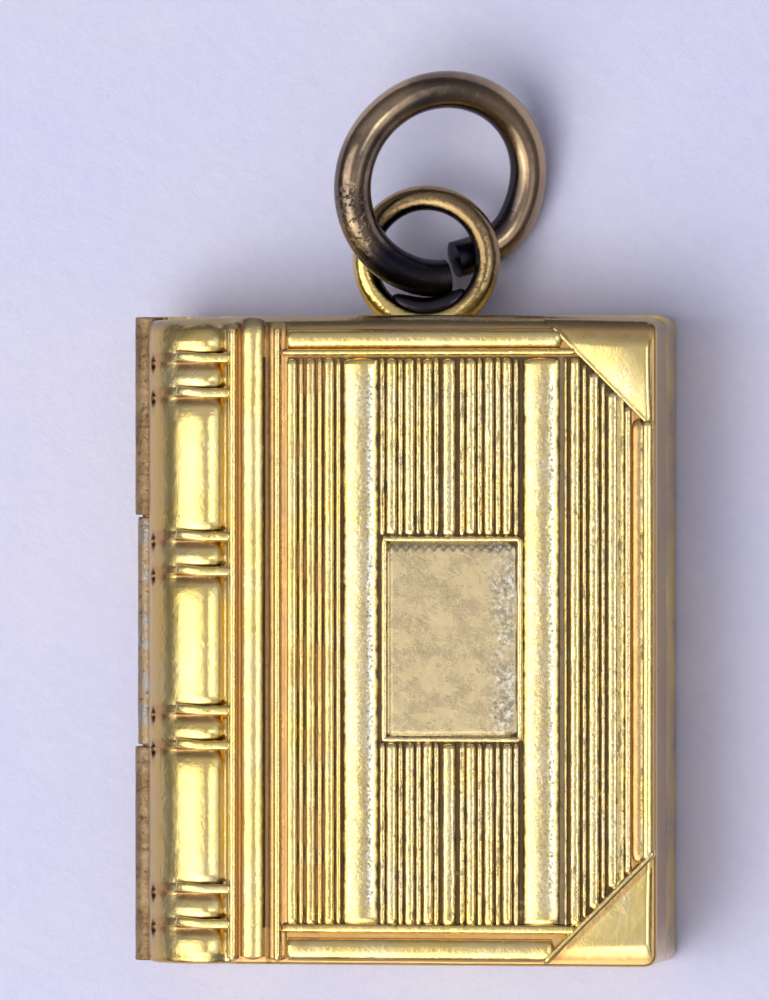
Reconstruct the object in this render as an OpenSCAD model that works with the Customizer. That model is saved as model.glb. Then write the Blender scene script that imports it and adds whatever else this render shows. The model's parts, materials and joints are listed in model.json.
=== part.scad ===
// A small locket in the shape of a bound book, lying on its back cover.
// The origin is the middle of the back cover's outer face. +X runs from the spine to the
// opening edge, +Y to the head with the rings, +Z up through the front cover.

/* [Case] */
// Width of the case, from the hinge line to the opening edge
case_w = 13; // [12:0.1:14]
// Height of the case, from foot to head
case_h = 16; // [15.6:0.1:17]
// Thickness of the closed case, over the highest relief
case_t = 3.8; // [3.6:0.1:4.2]
// Thickness of the case walls
wall = 0.3; // [0.25:0.05:0.35]
// Radius of the corners at the opening edge
corner_r = 0.3; // [0.15:0.05:0.5]
// Gap between the rims of the two halves
rim_gap = 0.04; // [0.02:0.01:0.08]

/* [Spine] */
// Radius of the rounded spine edge on each half
spine_r = 1.68; // [1.5:0.02:1.72]
// Distance from the middle of the face to the valley beside the spine
spine_valley_x = 4.31; // [4.2:0.01:4.4]
// Radius of the raised bands across the spine
spine_bead_r = 0.095; // [0.06:0.005:0.11]
// Distance from the middle to the centre of each inner pair of spine bands
inner_pair_y = 2.145; // [1.8:0.05:2.6]
// Distance from the middle to the centre of each outer pair of spine bands
outer_pair_y = 6.54; // [6:0.05:6.8]
// Half the distance between the two bands of a pair
pair_half_gap = 0.43; // [0.3:0.01:0.6]
// Where a spine band ends on the curve, in degrees up from the parting plane
spine_bead_end = 53; // [40:1:70]
// Radius of the dimple struck where each spine band ends
dimple_r = 0.13; // [0.08:0.01:0.16]

/* [Cover relief] */
// Height of the relief over the floor of its grooves
relief_h = 0.2; // [0.15:0.01:0.24]
// Distance from the middle to the ridge beside the spine
ridge_x = 4.02; // [3.95:0.01:4.1]
// Distance from the middle to the joint band, the rounded strip where a book's cover folds
joint_x = 3.5; // [3.45:0.01:3.55]
// Width of the joint band
joint_w = 0.55; // [0.45:0.01:0.6]
// Distance from the middle to the ridge that starts the cloth of the cover
inner_ridge_x = 2.9; // [2.85:0.01:2.95]
// Radius of both ridges
ridge_r = 0.1; // [0.08:0.01:0.11]
// Radius of a wide rib
rib_r = 0.125; // [0.1:0.005:0.13]
// Radius of the thin rib between two wide ones
thin_rib_r = 0.07; // [0.05:0.005:0.08]
// Distance from one wide rib to the next
rib_pitch = 0.465; // [0.45:0.005:0.48]
// Width of the plain bands on both sides of the label
plain_band_w = 0.88; // [0.8:0.02:0.92]
// Half the height of the ribbed field
field_half_h = 6.93; // [6.8:0.01:7]

/* [Label and corners] */
// Width of the blank label plate
label_w = 3.2; // [3:0.05:3.3]
// Height of the blank label plate
label_h = 4.75; // [4:0.05:5.5]
// Radius of the bead around the label
label_bead_r = 0.08; // [0.05:0.005:0.09]
// Length of each side of a corner guard
guard_leg = 2.92; // [2.6:0.02:3.2]

/* [Hinge] */
// Radius of the hinge barrel
barrel_r = 0.35; // [0.3:0.01:0.36]
// Radius of the hinge pin
pin_r = 0.17; // [0.14:0.01:0.2]
// Clearance between the pin and its bores, on the radius
pin_gap = 0.02; // [0.01:0.005:0.04]
// Clearance around a barrel where the other half is cut away for it, on the radius
barrel_gap = 0.06; // [0.04:0.01:0.08]
// Length of the middle barrel, which belongs to the back half
middle_barrel_l = 5.64; // [4:0.1:7]
// Gap between two barrels, along the pin
barrel_end_gap = 0.05; // [0.03:0.01:0.08]

/* [Rings] */
// Outer width of the soldered ring
small_ring_od = 3.69; // [3.4:0.02:3.8]
// Wire of the soldered ring
small_ring_wire = 0.62; // [0.5:0.02:0.64]
// Outer width of the jump ring
jump_ring_od = 5.66; // [5.6:0.02:5.8]
// Wire of the jump ring
jump_ring_wire = 0.94; // [0.8:0.02:0.96]
// Opening of the jump ring, in degrees of its round
jump_ring_cut = 4; // [2:1:12]

/* [Hidden] */
$fn = 48;
eps = 0.01;
gold = [0.86, 0.72, 0.38];
plain_gold = [0.80, 0.65, 0.34];
grey_metal = [0.50, 0.48, 0.45];
tarnished = [0.45, 0.37, 0.24];

part_z = case_t / 2;
front_z = part_z + rim_gap / 2;
back_z = part_z - rim_gap / 2;
floor_z = case_t - relief_h;
edge_x = case_w / 2;
head_y = case_h / 2;

spine_play = 0.02;
hinge_x = 0.05 - edge_x;
spine_left_x = hinge_x + spine_play;
spine_cx = spine_left_x + spine_r;
spine_top_z = case_t - spine_bead_r + 0.015;
front_spine_cz = spine_top_z - spine_r;
pair_ys = [outer_pair_y, inner_pair_y, -inner_pair_y, -outer_pair_y];
dimple_angle = 36;
dimple_sink = 0.06;

left_ribs_x = -2.55;
left_ribs_n = 3;
middle_ribs_x = 1.37;
middle_ribs_n = 3;
middle_rib_step = 0.535;
middle_rib_r = 0.185;
right_ribs_x = 4.505;
right_ribs_n = 3;
left_band_x = -0.845;
right_band_x = 3.63;
edge_bead_x = 5.87;
edge_bead_r = 0.09;
edge_band_x = 6.25;
edge_band_r = 0.2;
label_x = 1.45;
label_y = 0.025;
label_step = 0.12;

trim_x0 = -2.79;
trim_x1 = 4.6;
head_trim = [[7.45, 0.19], [7.085, 0.1]];
foot_trim = [[-7.65, 0.22], [-7.13, 0.13]];

lip_t = 0.2;
lip_h = 0.5;
lip_gap = 0.08;
lip_root = 0.7;
lip_x = -5.3;

middle_barrel_y = 0.2;
middle_y0 = middle_barrel_y - middle_barrel_l / 2;
middle_y1 = middle_barrel_y + middle_barrel_l / 2;

small_ring_x = 0.46;
small_ring_y = 9.39;
small_ring_z = 1.53;
solder_w = 2;
solder_t = 0.5;
solder_h = 0.12;
jump_ring_pos = [0.865, 11.3, 1.85];
jump_ring_roll = 32.8;
jump_ring_pitch = 14;
jump_ring_cut_at = -77;

// A block between two corners
module block(low, high) {
    translate(low)
        cube(high - low);
}

// A round bar along Y from y0 to y1, with its axis at x, z
module bar_y(x, z, r, y0, y1) {
    translate([x, y1, z])
        rotate([90, 0, 0])
            cylinder(r = r, h = y1 - y0);
}

// A round bar along X from x0 to x1, with its axis at y, z
module bar_x(y, z, r, x0, x1) {
    translate([x0, y, z])
        rotate([0, 90, 0])
            cylinder(r = r, h = x1 - x0);
}

// A rib along Y whose crest stands h over the floor of the grooves
module rib(x, r, h, y0, y1) {
    bar_y(x, floor_z + h - r, r, y0, y1);
}

// The case seen from above, with its two rounded corners, as tall as the closed case
module case_outline() {
    linear_extrude(case_t)
        union() {
            translate([spine_left_x, -head_y])
                square([edge_x - spine_left_x - corner_r, case_h]);
            translate([spine_left_x, -head_y + corner_r])
                square([edge_x - spine_left_x, case_h - 2 * corner_r]);
            for (side = [-1, 1])
                translate([edge_x - corner_r, side * (head_y - corner_r)])
                    circle(corner_r);
        }
}

// The inside of both halves: a box that turns into a round along the spine
module cavity(cz, z0, z1) {
    inner_y = head_y - wall;
    intersection() {
        union() {
            block([spine_cx, -inner_y, z0], [edge_x - wall, inner_y, z1]);
            bar_y(spine_cx, cz, spine_r - wall, -inner_y, inner_y);
            block([spine_left_x + wall, -inner_y, min(cz, part_z)], [spine_cx, inner_y, max(cz, part_z)]);
        }
        block([-edge_x, -head_y, z0], [edge_x, head_y, z1]);
    }
}

// One barrel of the hinge between two heights
module barrel(y0, y1, r) {
    bar_y(hinge_x, part_z, r, y0, y1);
}

// The room that a barrel needs in the other half
module barrel_room(y0, y1) {
    barrel(y0 - barrel_end_gap, y1 + barrel_end_gap, barrel_r + barrel_gap);
}

module pin_bore() {
    barrel(-head_y - 1, head_y + 1, pin_r + pin_gap);
}

// A raised band across the spine: round the curve, then straight to the ridge beside it
module spine_band(y) {
    translate([spine_cx, y, front_spine_cz])
        rotate([90, 0, 0])
            rotate([0, 0, 90])
                rotate_extrude(angle = 90 - spine_bead_end)
                    translate([spine_r - 0.015, 0])
                        circle(spine_bead_r);
    bar_x(y, case_t - spine_bead_r, spine_bead_r, spine_cx, -ridge_x);
}

module spine_dimple(y) {
    reach = spine_r + dimple_r - dimple_sink;
    translate([
        spine_cx - reach * cos(dimple_angle),
        y - spine_bead_r,
        front_spine_cz + reach * sin(dimple_angle)
    ])
        rotate([90, 0, 180])
            sphere(dimple_r);
}

// Calls its child's shape once for every spine band
module at_spine_bands() {
    for (y = pair_ys)
        for (side = [-1, 1])
            translate([0, y + side * pair_half_gap, 0])
                children();
}

// Wide ribs with a thin one beside each, on the side that thin_step points to
module rib_group(x, n, thin_step, y0, y1) {
    for (i = [0 : n - 1]) {
        rib(x + i * rib_pitch, rib_r, relief_h * 0.8, y0, y1);
        rib(x + i * rib_pitch + thin_step, thin_rib_r, relief_h * 0.5, y0, y1);
    }
}

// The ribs over and under the label, spread evenly from the broad one in the middle
module middle_ribs(y0, y1) {
    rib(middle_ribs_x, middle_rib_r, relief_h * 0.8, y0, y1);
    for (side = [-1, 1]) {
        for (i = [0 : middle_ribs_n - 1]) {
            offset_x = middle_rib_step + i * rib_pitch;
            rib(middle_ribs_x + side * offset_x, rib_r, relief_h * 0.8, y0, y1);
            rib(middle_ribs_x + side * (offset_x + rib_pitch / 2), thin_rib_r, relief_h * 0.5, y0, y1);
        }
        rib(middle_ribs_x + side * (middle_rib_step - rib_pitch / 2), thin_rib_r, relief_h * 0.5, y0, y1);
    }
}

// A plain band with round shoulders
module plain_band(x) {
    top = floor_z + relief_h * 0.75;
    shoulder_r = 0.12;
    half = plain_band_w / 2;
    block([x - half + shoulder_r, -field_half_h, floor_z - eps], [x + half - shoulder_r, field_half_h, top]);
    for (side = [-1, 1])
        bar_y(x + side * (half - shoulder_r), top - shoulder_r, shoulder_r, -field_half_h, field_half_h);
}

module label_plate() {
    half_w = label_w / 2;
    half_h = label_h / 2;
    bead_x = half_w + label_bead_r * 0.8;
    bead_y = half_h + label_bead_r * 0.8;
    bead_end = bead_y + label_bead_r;
    bead_z = floor_z + relief_h * 0.7 - label_bead_r;
    translate([label_x, label_y, 0]) {
        block([-half_w, -half_h, floor_z - eps], [half_w, half_h, floor_z + label_step]);
        for (side = [-1, 1]) {
            bar_y(side * bead_x, bead_z, label_bead_r, -bead_end, bead_end);
            bar_x(side * bead_y, bead_z, label_bead_r, -bead_x, bead_x);
        }
    }
}

// The trims along head and foot
module trims() {
    for (t = concat(head_trim, foot_trim))
        bar_x(t[0], floor_z + relief_h * 0.85 - t[1], t[1], trim_x0, trim_x1);
}

// The triangle of a corner guard at the head, from z0 to z1
module guard_shape(z0, z1) {
    translate([0, 0, z0])
        linear_extrude(z1 - z0)
            polygon([
                [edge_x + eps, head_y + eps],
                [edge_x - guard_leg, head_y + eps],
                [edge_x + eps, head_y - guard_leg]
            ]);
}

// A corner guard at the head, with the bead along its slanting side
module corner_guard() {
    bead_r = relief_h * 0.55;
    guard_shape(floor_z - eps, floor_z + relief_h * 0.75);
    translate([edge_x, head_y - guard_leg, case_t - bead_r])
        rotate([0, 0, 135])
            rotate([0, 90, 0])
                cylinder(r = bead_r, h = guard_leg * sqrt(2));
}

// The relief that stops at the corner guards
module edge_relief() {
    difference() {
        union() {
            rib_group(right_ribs_x, right_ribs_n, -rib_pitch / 2, -field_half_h, field_half_h);
            rib(edge_bead_x, edge_bead_r, relief_h * 0.8, -head_y, head_y);
            rib(edge_band_x, edge_band_r, relief_h * 0.8, -head_y, head_y);
            trims();
        }
        for (side = [0, 1])
            mirror([0, side, 0])
                guard_shape(floor_z - 1, case_t + 1);
    }
}

module relief() {
    label_top = label_y + label_h / 2 + label_bead_r;
    label_foot = label_y - label_h / 2 - label_bead_r;
    rib(-ridge_x, ridge_r, relief_h * 0.95, -head_y + 0.3, head_y - 0.25);
    rib(-inner_ridge_x, ridge_r, relief_h * 0.95, -head_y + 0.2, head_y - 0.2);
    rib(-joint_x, joint_w * 0.68, relief_h * 0.8, -head_y, head_y);
    rib_group(left_ribs_x, left_ribs_n, rib_pitch / 2, -field_half_h, field_half_h);
    plain_band(left_band_x);
    plain_band(right_band_x);
    middle_ribs(label_top, field_half_h);
    middle_ribs(-field_half_h, label_foot);
    label_plate();
    edge_relief();
    for (side = [0, 1])
        mirror([0, side, 0])
            corner_guard();
}

// The outer shape of the front half: box, rounded spine edge and the valley beside it
module front_shape() {
    block([-spine_valley_x, -head_y, front_z], [edge_x, head_y, floor_z]);
    intersection() {
        union() {
            bar_y(spine_cx, front_spine_cz, spine_r, -head_y, head_y);
            block([spine_left_x, -head_y, part_z], [spine_cx, head_y, front_spine_cz]);
        }
        block([-edge_x, -head_y, front_z], [-spine_valley_x + eps, head_y, case_t]);
    }
}

module front_cover() {
    color(gold)
        difference() {
            union() {
                difference() {
                    intersection() {
                        union() {
                            front_shape();
                            relief();
                            at_spine_bands()
                                spine_band(0);
                        }
                        case_outline();
                    }
                    cavity(front_spine_cz, part_z - 1, floor_z - wall);
                    barrel_room(middle_y0, middle_y1);
                    at_spine_bands()
                        spine_dimple(0);
                }
                barrel(middle_y1 + barrel_end_gap, head_y - eps, barrel_r);
                barrel(-head_y + eps, middle_y0 - barrel_end_gap, barrel_r);
            }
            pin_bore();
        }
}

// The thin wall inside the rim of the back half, which the front half closes over
module closing_lip() {
    inner_x = edge_x - wall;
    inner_y = head_y - wall;
    lip_y = inner_y - lip_gap;
    hollow = lip_gap + lip_t;
    difference() {
        union() {
            block([lip_x, -inner_y - eps, back_z - lip_root], [inner_x + eps, inner_y + eps, back_z]);
            block([lip_x, -lip_y, back_z - eps], [inner_x - lip_gap, lip_y, back_z + lip_h]);
        }
        block([lip_x - 1, -inner_y + hollow, 0], [inner_x - hollow, inner_y - hollow, case_t]);
    }
}

// The soldered ring, cut off inside the wall that carries it
module small_ring() {
    ring_r = (small_ring_od - small_ring_wire) / 2;
    difference() {
        translate([small_ring_x, small_ring_y, small_ring_z])
            rotate_extrude()
                translate([ring_r, 0])
                    circle(small_ring_wire / 2);
        block([-edge_x, 0, 0], [edge_x, head_y - wall / 2, case_t]);
    }
    translate([small_ring_x, head_y, small_ring_z])
        block([-solder_w / 2, -eps, -solder_t / 2], [solder_w / 2, solder_h, solder_t / 2]);
}

// The outer shape of the back half
module back_shape() {
    block([spine_cx, -head_y, 0], [edge_x, head_y, back_z]);
    intersection() {
        union() {
            bar_y(spine_cx, spine_r, spine_r, -head_y, head_y);
            block([spine_left_x, -head_y, spine_r], [spine_cx, head_y, back_z]);
        }
        block([-edge_x, -head_y, 0], [spine_cx + eps, head_y, back_z]);
    }
}

module back_cover() {
    color(plain_gold)
        difference() {
            union() {
                difference() {
                    intersection() {
                        back_shape();
                        case_outline();
                    }
                    cavity(spine_r, wall, case_t);
                    barrel_room(middle_y1 + barrel_end_gap, head_y + 1);
                    barrel_room(-head_y - 1, middle_y0 - barrel_end_gap);
                }
                barrel(middle_y0, middle_y1, barrel_r);
                closing_lip();
                small_ring();
            }
            pin_bore();
        }
}

module hinge_pin() {
    color(grey_metal)
        barrel(-head_y + 0.05, head_y - 0.05, pin_r);
}

// The open ring, leaning on the soldered ring on one side and held under it on the other
module jump_ring() {
    ring_r = (jump_ring_od - jump_ring_wire) / 2;
    color(tarnished)
        translate(jump_ring_pos)
            rotate([0, jump_ring_roll, 0])
                rotate([jump_ring_pitch, 0, 0])
                    rotate([0, 0, jump_ring_cut_at + jump_ring_cut / 2])
                        rotate_extrude(angle = 360 - jump_ring_cut)
                            translate([ring_r, 0])
                                circle(jump_ring_wire / 2);
}

front_cover();
back_cover();
hinge_pin();
jump_ring();
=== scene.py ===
"""Dresses the book locket: stamped covers, hinge, rings, table and light, around the packed frame."""

import json
import math
import random

import bmesh
import bpy
from bpy.props import FloatProperty, FloatVectorProperty, IntProperty, PointerProperty
from mathutils import Matrix, Vector, noise


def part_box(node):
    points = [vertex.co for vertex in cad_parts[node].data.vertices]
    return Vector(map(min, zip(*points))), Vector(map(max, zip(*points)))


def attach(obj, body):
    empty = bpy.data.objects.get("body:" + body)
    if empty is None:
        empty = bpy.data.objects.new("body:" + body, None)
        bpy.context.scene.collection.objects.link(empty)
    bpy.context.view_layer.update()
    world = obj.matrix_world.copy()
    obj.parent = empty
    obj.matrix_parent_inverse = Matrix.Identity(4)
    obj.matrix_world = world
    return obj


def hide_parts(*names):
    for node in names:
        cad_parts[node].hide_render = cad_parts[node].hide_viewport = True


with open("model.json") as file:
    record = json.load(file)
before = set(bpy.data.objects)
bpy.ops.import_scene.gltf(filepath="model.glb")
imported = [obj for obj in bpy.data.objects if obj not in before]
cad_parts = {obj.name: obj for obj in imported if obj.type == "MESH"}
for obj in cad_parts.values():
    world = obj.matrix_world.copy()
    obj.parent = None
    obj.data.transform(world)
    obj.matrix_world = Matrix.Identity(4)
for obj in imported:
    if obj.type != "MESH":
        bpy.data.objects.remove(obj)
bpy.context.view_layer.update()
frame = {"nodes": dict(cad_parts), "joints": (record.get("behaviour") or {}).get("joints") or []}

bl_info = {
    "name": "Book locket",
    "version": (1, 0, 0),
    "blender": (4, 5, 0),
    "location": "View3D > Sidebar > Locket",
    "description": "Makes a stamped book locket with its hinge, rings, table and light",
    "category": "Add Mesh",
}

MM = 0.001
front_low, front_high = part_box("front_cover")
hinge_x, _, hinge_z = (value / MM for value in frame["joints"][0]["pos_m"])


def length(name, text, millimetres):
    """A size property, given in millimetres"""
    size = millimetres * MM
    return FloatProperty(name=name, description=text, default=size, unit="LENGTH", precision=5)


def angle(name, text, degrees):
    """An angle property, given in degrees"""
    return FloatProperty(name=name, description=text, default=math.radians(degrees), subtype="ANGLE")


def colour(name, text, *value):
    """A colour property"""
    return FloatVectorProperty(
        name=name, description=text, default=value, subtype="COLOR", min=0.0, max=1.0
    )


# Sizes and colours

class LocketCase(bpy.types.PropertyGroup):
    """Sizes of the two halves of the case"""
    edge_x: length("Opening edge", "Distance from the middle to the opening edge", front_high[0] / MM)
    head_y: length("Head edge", "Distance from the middle to the head and the foot", -front_low[1] / MM)
    thickness: length("Thickness", "Thickness over the highest relief", front_high[2] / MM)
    wall: length("Wall", "Thickness of the sheet metal", 0.3)
    corner_r: length("Corner radius", "Radius of the two corners at the opening edge", 0.3)
    fold_r: length("Fold radius", "Rounding where a cover folds into its side wall", 0.12)
    rim_gap: length("Rim gap", "Gap between the rims of the halves", 0.04)
    spine_r: length("Spine radius", "Radius of the rounded spine edge", 1.68)
    pillow: length("Pillow", "How far the spine panels sink below each band", 0.10)
    head_r: length("Head rounding", "Radius of the slow rounding of the front cover at the head", 0.48)


class LocketRelief(bpy.types.PropertyGroup):
    """Sizes of the stamped relief on the front cover"""
    depth: length("Depth", "Height of the relief over the floor of its grooves", 0.15)
    field: length("Ribbed field", "Height of the floor between the ribs over the floor elsewhere", 0.03)
    pitch: length("Rib pitch", "Distance from one wide rib to the next", 0.465)
    rib: length("Wide rib", "Half the width of a wide rib", 0.132)
    thin_rib: length("Thin rib", "Half the width of a thin rib", 0.068)
    broad_rib: length("Broad rib", "Half the width of the rib in the middle", 0.175)
    plain_band: length("Plain band", "Width of the bands beside the label", 0.96)
    ridge: length("Ridge", "Half the width of the ridges beside the joint band", 0.11)
    joint_band: length("Joint band", "Width of the rounded strip where a book's cover folds", 0.66)
    spine_band: length("Spine band", "Radius of the raised bands across the spine", 0.095)
    guard_leg: length("Corner guard", "Length of each side of a corner guard", 2.92)
    label_w: length("Label width", "Width of the blank label plate", 3.2)
    label_h: length("Label height", "Height of the blank label plate", 4.75)
    bead: length("Label bead", "Half the width of the bead around the label", 0.085)


class LocketHinge(bpy.types.PropertyGroup):
    """Sizes of the hinge"""
    barrel_r: length("Barrel radius", "Radius of the hinge barrels", 0.35)
    bore_r: length("Bore radius", "Radius of the bore through the barrels", 0.19)
    room_r: length("Room radius", "Radius cut out of a half beside the other's barrel", 0.41)
    middle_y: length("Middle of the barrel", "Place of the middle barrel along the pin", 0.2)
    middle_l: length("Middle barrel", "Length of the middle barrel", 5.64)
    end_gap: length("End gap", "Gap between two barrels", 0.05)


class LocketRings(bpy.types.PropertyGroup):
    """Sizes of the two rings"""
    small_x: length("Soldered ring, across", "Place of the soldered ring's middle across the case", 0.46)
    small_y: length("Soldered ring, along", "Place of the soldered ring's middle along the case", 9.39)
    small_z: length("Soldered ring, height", "Height of the soldered ring's middle", 1.53)
    small_od: length("Soldered ring", "Outer width of the soldered ring", 3.69)
    small_wire: length("Soldered ring's wire", "Thickness of its wire", 0.62)
    jump_od: length("Jump ring", "Outer width of the jump ring", 5.66)
    jump_wire: length("Jump ring's wire", "Thickness of its wire", 0.94)
    roll: angle("Roll", "Lean of the jump ring to the side", 32.8)
    pitch: angle("Pitch", "Lean of the jump ring to the head", 14)
    cut: angle("Opening", "Opening of the jump ring", 4)


class LocketColours(bpy.types.PropertyGroup):
    """Colours of the metals and the table"""
    gold: colour("Gold", "Bright gold of the front cover", 1.0, 0.75, 0.235)
    worn_gold: colour("Worn gold", "Paler gold where the surface is rubbed", 0.93, 0.75, 0.34)
    # Orange tarnish, also painted as bounce light in the grooves, valleys and creases
    groove: colour("Groove", "Orange tarnish in the grooves", 0.60, 0.34, 0.12)
    # Dark tarnish, also painted as shade between the ribs and in the creases and dimples of the spine
    soot: colour("Dark tarnish", "Dark tarnish at the bottom of the grooves", 0.07, 0.042, 0.022)
    # Painted olive shade along the head, beside the left ridge and on the right flank of the right plain
    # band
    olive: colour("Olive tarnish", "Tarnish along the head and between the bands", 0.34, 0.26, 0.14)
    # Painted shade on the front cover's side walls
    wall: colour("Wall brown", "Browner gold of the front cover's side walls", 0.62, 0.44, 0.16)
    # Painted shade low on the spine's round
    spine: colour("Spine brown", "Browner gold low on the spine", 0.50, 0.29, 0.08)
    # Painted shade in the valley beside the joint band
    crack: colour("Crack brown", "Dark line beside the joint band", 0.34, 0.20, 0.075)
    rubbed: colour("Rubbed grey", "Grey metal where a crest is rubbed through", 0.66, 0.64, 0.56)
    # Painted glints on the rubbed crests
    fleck: colour("Pale fleck", "Flecks that catch the light on rubbed crests", 0.95, 0.96, 0.95)
    nick: colour("Dark fleck", "Dark flecks on rubbed crests", 0.12, 0.12, 0.10)
    # Painted shade in ragged marks along the flanks of the ribs
    torn: colour("Torn flank", "Dark tears along the flanks of the ribs", 0.13, 0.10, 0.06)
    label: colour("Label", "Dull gold of the label plate", 0.50, 0.40, 0.22)
    label_pale: colour("Pale label", "Cleaner places of the label plate", 0.67, 0.53, 0.28)
    # Painted glints on the label's right side
    label_fleck: colour("Label fleck", "Pale flecks on the label's rubbed side", 0.92, 0.94, 0.92)
    label_nick: colour("Label nick", "Dark flecks on the label's rubbed side", 0.16, 0.18, 0.18)
    back_gold: colour("Back gold", "Browner gold of the back half", 0.62, 0.47, 0.24)
    barrel: colour("Barrel brown", "Dark brown of the front half's barrels", 0.29, 0.18, 0.085)
    barrel_pale: colour("Rubbed barrel", "Rubbed places of the barrels", 0.48, 0.34, 0.18)
    grey: colour("Bare metal", "Grey metal of the worn middle barrel", 0.38, 0.37, 0.35)
    # Tarnish and painted shade on the soldered ring's head side, away from the light; painted shade on
    # its top and round its outer edge
    small_ring: colour("Small ring brown", "Brown on the soldered ring's head side", 0.58, 0.40, 0.17)
    small_ring_top_shade: colour("Small ring tarnish", "Dark brown on top of the soldered ring", 0.25, 0.17, 0.08)
    small_ring_edge_shade: colour("Small ring edge", "Dark brown round the soldered ring", 0.26, 0.18, 0.09)
    ring: colour("Ring brown", "Antique brown of the jump ring", 0.19, 0.14, 0.10)
    ring_worn: colour("Rubbed ring", "Rubbed places of the jump ring", 0.46, 0.33, 0.19)
    ring_right: colour("Warm ring", "Warmer right side of the jump ring", 0.50, 0.35, 0.20)
    # Blue-black tarnish, also painted as shade where the rings meet and on their inner sides
    blue_tarnish_and_shade: colour("Blue tarnish", "Blue-black tarnish where the rings meet", 0.02, 0.02, 0.035)
    paper: colour("Paper", "Pale paper under the locket", 0.69, 0.70, 0.89)
    paper_warm: colour("Warm paper", "Warmer clouds in the paper", 0.74, 0.73, 0.86)
    paper_dark: colour("Paper tooth", "Darker grain of the paper", 0.58, 0.57, 0.72)
    paper_pale: colour("Paper fibre", "Paler fibres of the paper", 0.86, 0.85, 0.93)
    room_low: colour("Low room light", "The room's light from low down", 0.13, 0.13, 0.17)
    room_high: colour("High room light", "The room's light from overhead", 0.45, 0.45, 0.56)


class LocketMaking(bpy.types.PropertyGroup):
    """How finely the pieces are made"""
    sides: IntProperty(name="Sides", description="Sides of a rib's section", default=20, min=8, max=64)
    seed: IntProperty(name="Seed", description="Seed of the dents and the wobble", default=7, min=0)


GROUPS = {
    "locket_case": LocketCase,
    "locket_relief": LocketRelief,
    "locket_hinge": LocketHinge,
    "locket_rings": LocketRings,
    "locket_colours": LocketColours,
    "locket_making": LocketMaking,
}

# Places on the front cover and of the jump ring, in millimetres
BAND_PAIRS = (6.54, 2.145, -2.145, -6.54)
PAIR_HALF_GAP = 0.43
BAND_DROP = 0.035
LEFT_RIDGE_X = -4.015
JOINT_BAND_X = -3.535
RIGHT_RIDGE_X = -2.905
LEFT_RIB_X = -2.54
LEFT_BAND_X = -0.828
MIDDLE_RIB_X = 1.37
LABEL_X = 1.45
LABEL_Y = 0.025
RIGHT_BAND_X = 3.66
RIGHT_RIB_X = 4.50
EDGE_BEAD_X = 5.81
EDGE_STEP_X = 6.07
EDGE_TRIM_X = 6.29
RIBS_HEAD = 6.97
RIBS_FOOT = -7.04
HEAD_BEAD_Y = 7.075
FOOT_BEAD_Y = -7.09
HEAD_TRIM_Y = 7.40
FOOT_TRIM_Y = -7.605
JUMP_MIDDLE = (0.865, 11.3, 1.85)

# Where the jump ring is cut, in degrees round it
JUMP_CUT_DEGREES = -77


class InMillimetres:
    """Reads the lengths of a property group in millimetres"""

    def __init__(self, group):
        self.group = group

    def __getattr__(self, name):
        return getattr(self.group, name) / MM


def case():
    return InMillimetres(bpy.context.scene.locket_case)


def relief():
    return InMillimetres(bpy.context.scene.locket_relief)


def hinge():
    return InMillimetres(bpy.context.scene.locket_hinge)


def rings():
    return InMillimetres(bpy.context.scene.locket_rings)


def tint(name):
    """One of the locket's colours, with its alpha"""
    return (*getattr(bpy.context.scene.locket_colours, name), 1.0)


# Small sums

def ease(value, low, high):
    """Rises smoothly from 0 at low to 1 at high"""
    t = min(max((value - low) / (high - low), 0.0), 1.0)
    return t * t * (3.0 - 2.0 * t)


def spread(low, high, count):
    """Evenly spread values from low to high, both ends included"""
    return [low + (high - low) * i / (count - 1) for i in range(count)]


def ripple(x, y, z):
    """A slow random wave over the metal, between -1 and 1"""
    return noise.noise(Vector((x, y, z)))


def floor_z():
    """Height of the floor of the grooves"""
    return case().thickness - relief().depth


def spine_middle_x():
    """The line on which the spine's round is centred"""
    return hinge_x + 0.02 + case().spine_r


def spine_crest_z():
    """Height of the spine between its bands"""
    return case().thickness - relief().spine_band + 0.015


def head_fall(y):
    """How far the front cover has dropped at y, where it rounds over at the head"""
    radius = case().head_r
    over = min(max(y - (case().head_y - radius), 0.0), radius)
    return radius - math.sqrt(radius ** 2 - over ** 2)


def head_bow(x, y):
    """The head edge of the front cover is slightly bowed: y as it comes out at x"""
    return y - 0.1 * ((x - 0.35) / 6.6) ** 2 * ease(y, 6.8, 7.9)


def dimple_x():
    """Place of the small dimples where the bands of the spine die out"""
    return spine_middle_x() - case().spine_r * math.cos(math.radians(33))


def spine_band_ys():
    """Places of the eight bands across the spine"""
    return [pair + side * PAIR_HALF_GAP for pair in BAND_PAIRS for side in (1, -1)]


def guard_line(x):
    """Height of the slanting side of the corner guard over x"""
    return case().head_y - (x - (case().edge_x - relief().guard_leg))


# Node trees

class Value:
    """A value in a node tree, which can be added and multiplied like a number"""

    def __init__(self, lay, socket):
        self.lay = lay
        self.socket = socket

    def __add__(self, other):
        return self.lay.math("ADD", self, other)

    def __sub__(self, other):
        return self.lay.math("SUBTRACT", self, other)

    def __rsub__(self, other):
        return self.lay.math("SUBTRACT", other, self)

    def __mul__(self, other):
        return self.lay.math("MULTIPLY", self, other)

    def __abs__(self):
        return self.lay.math("ABSOLUTE", self)


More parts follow.
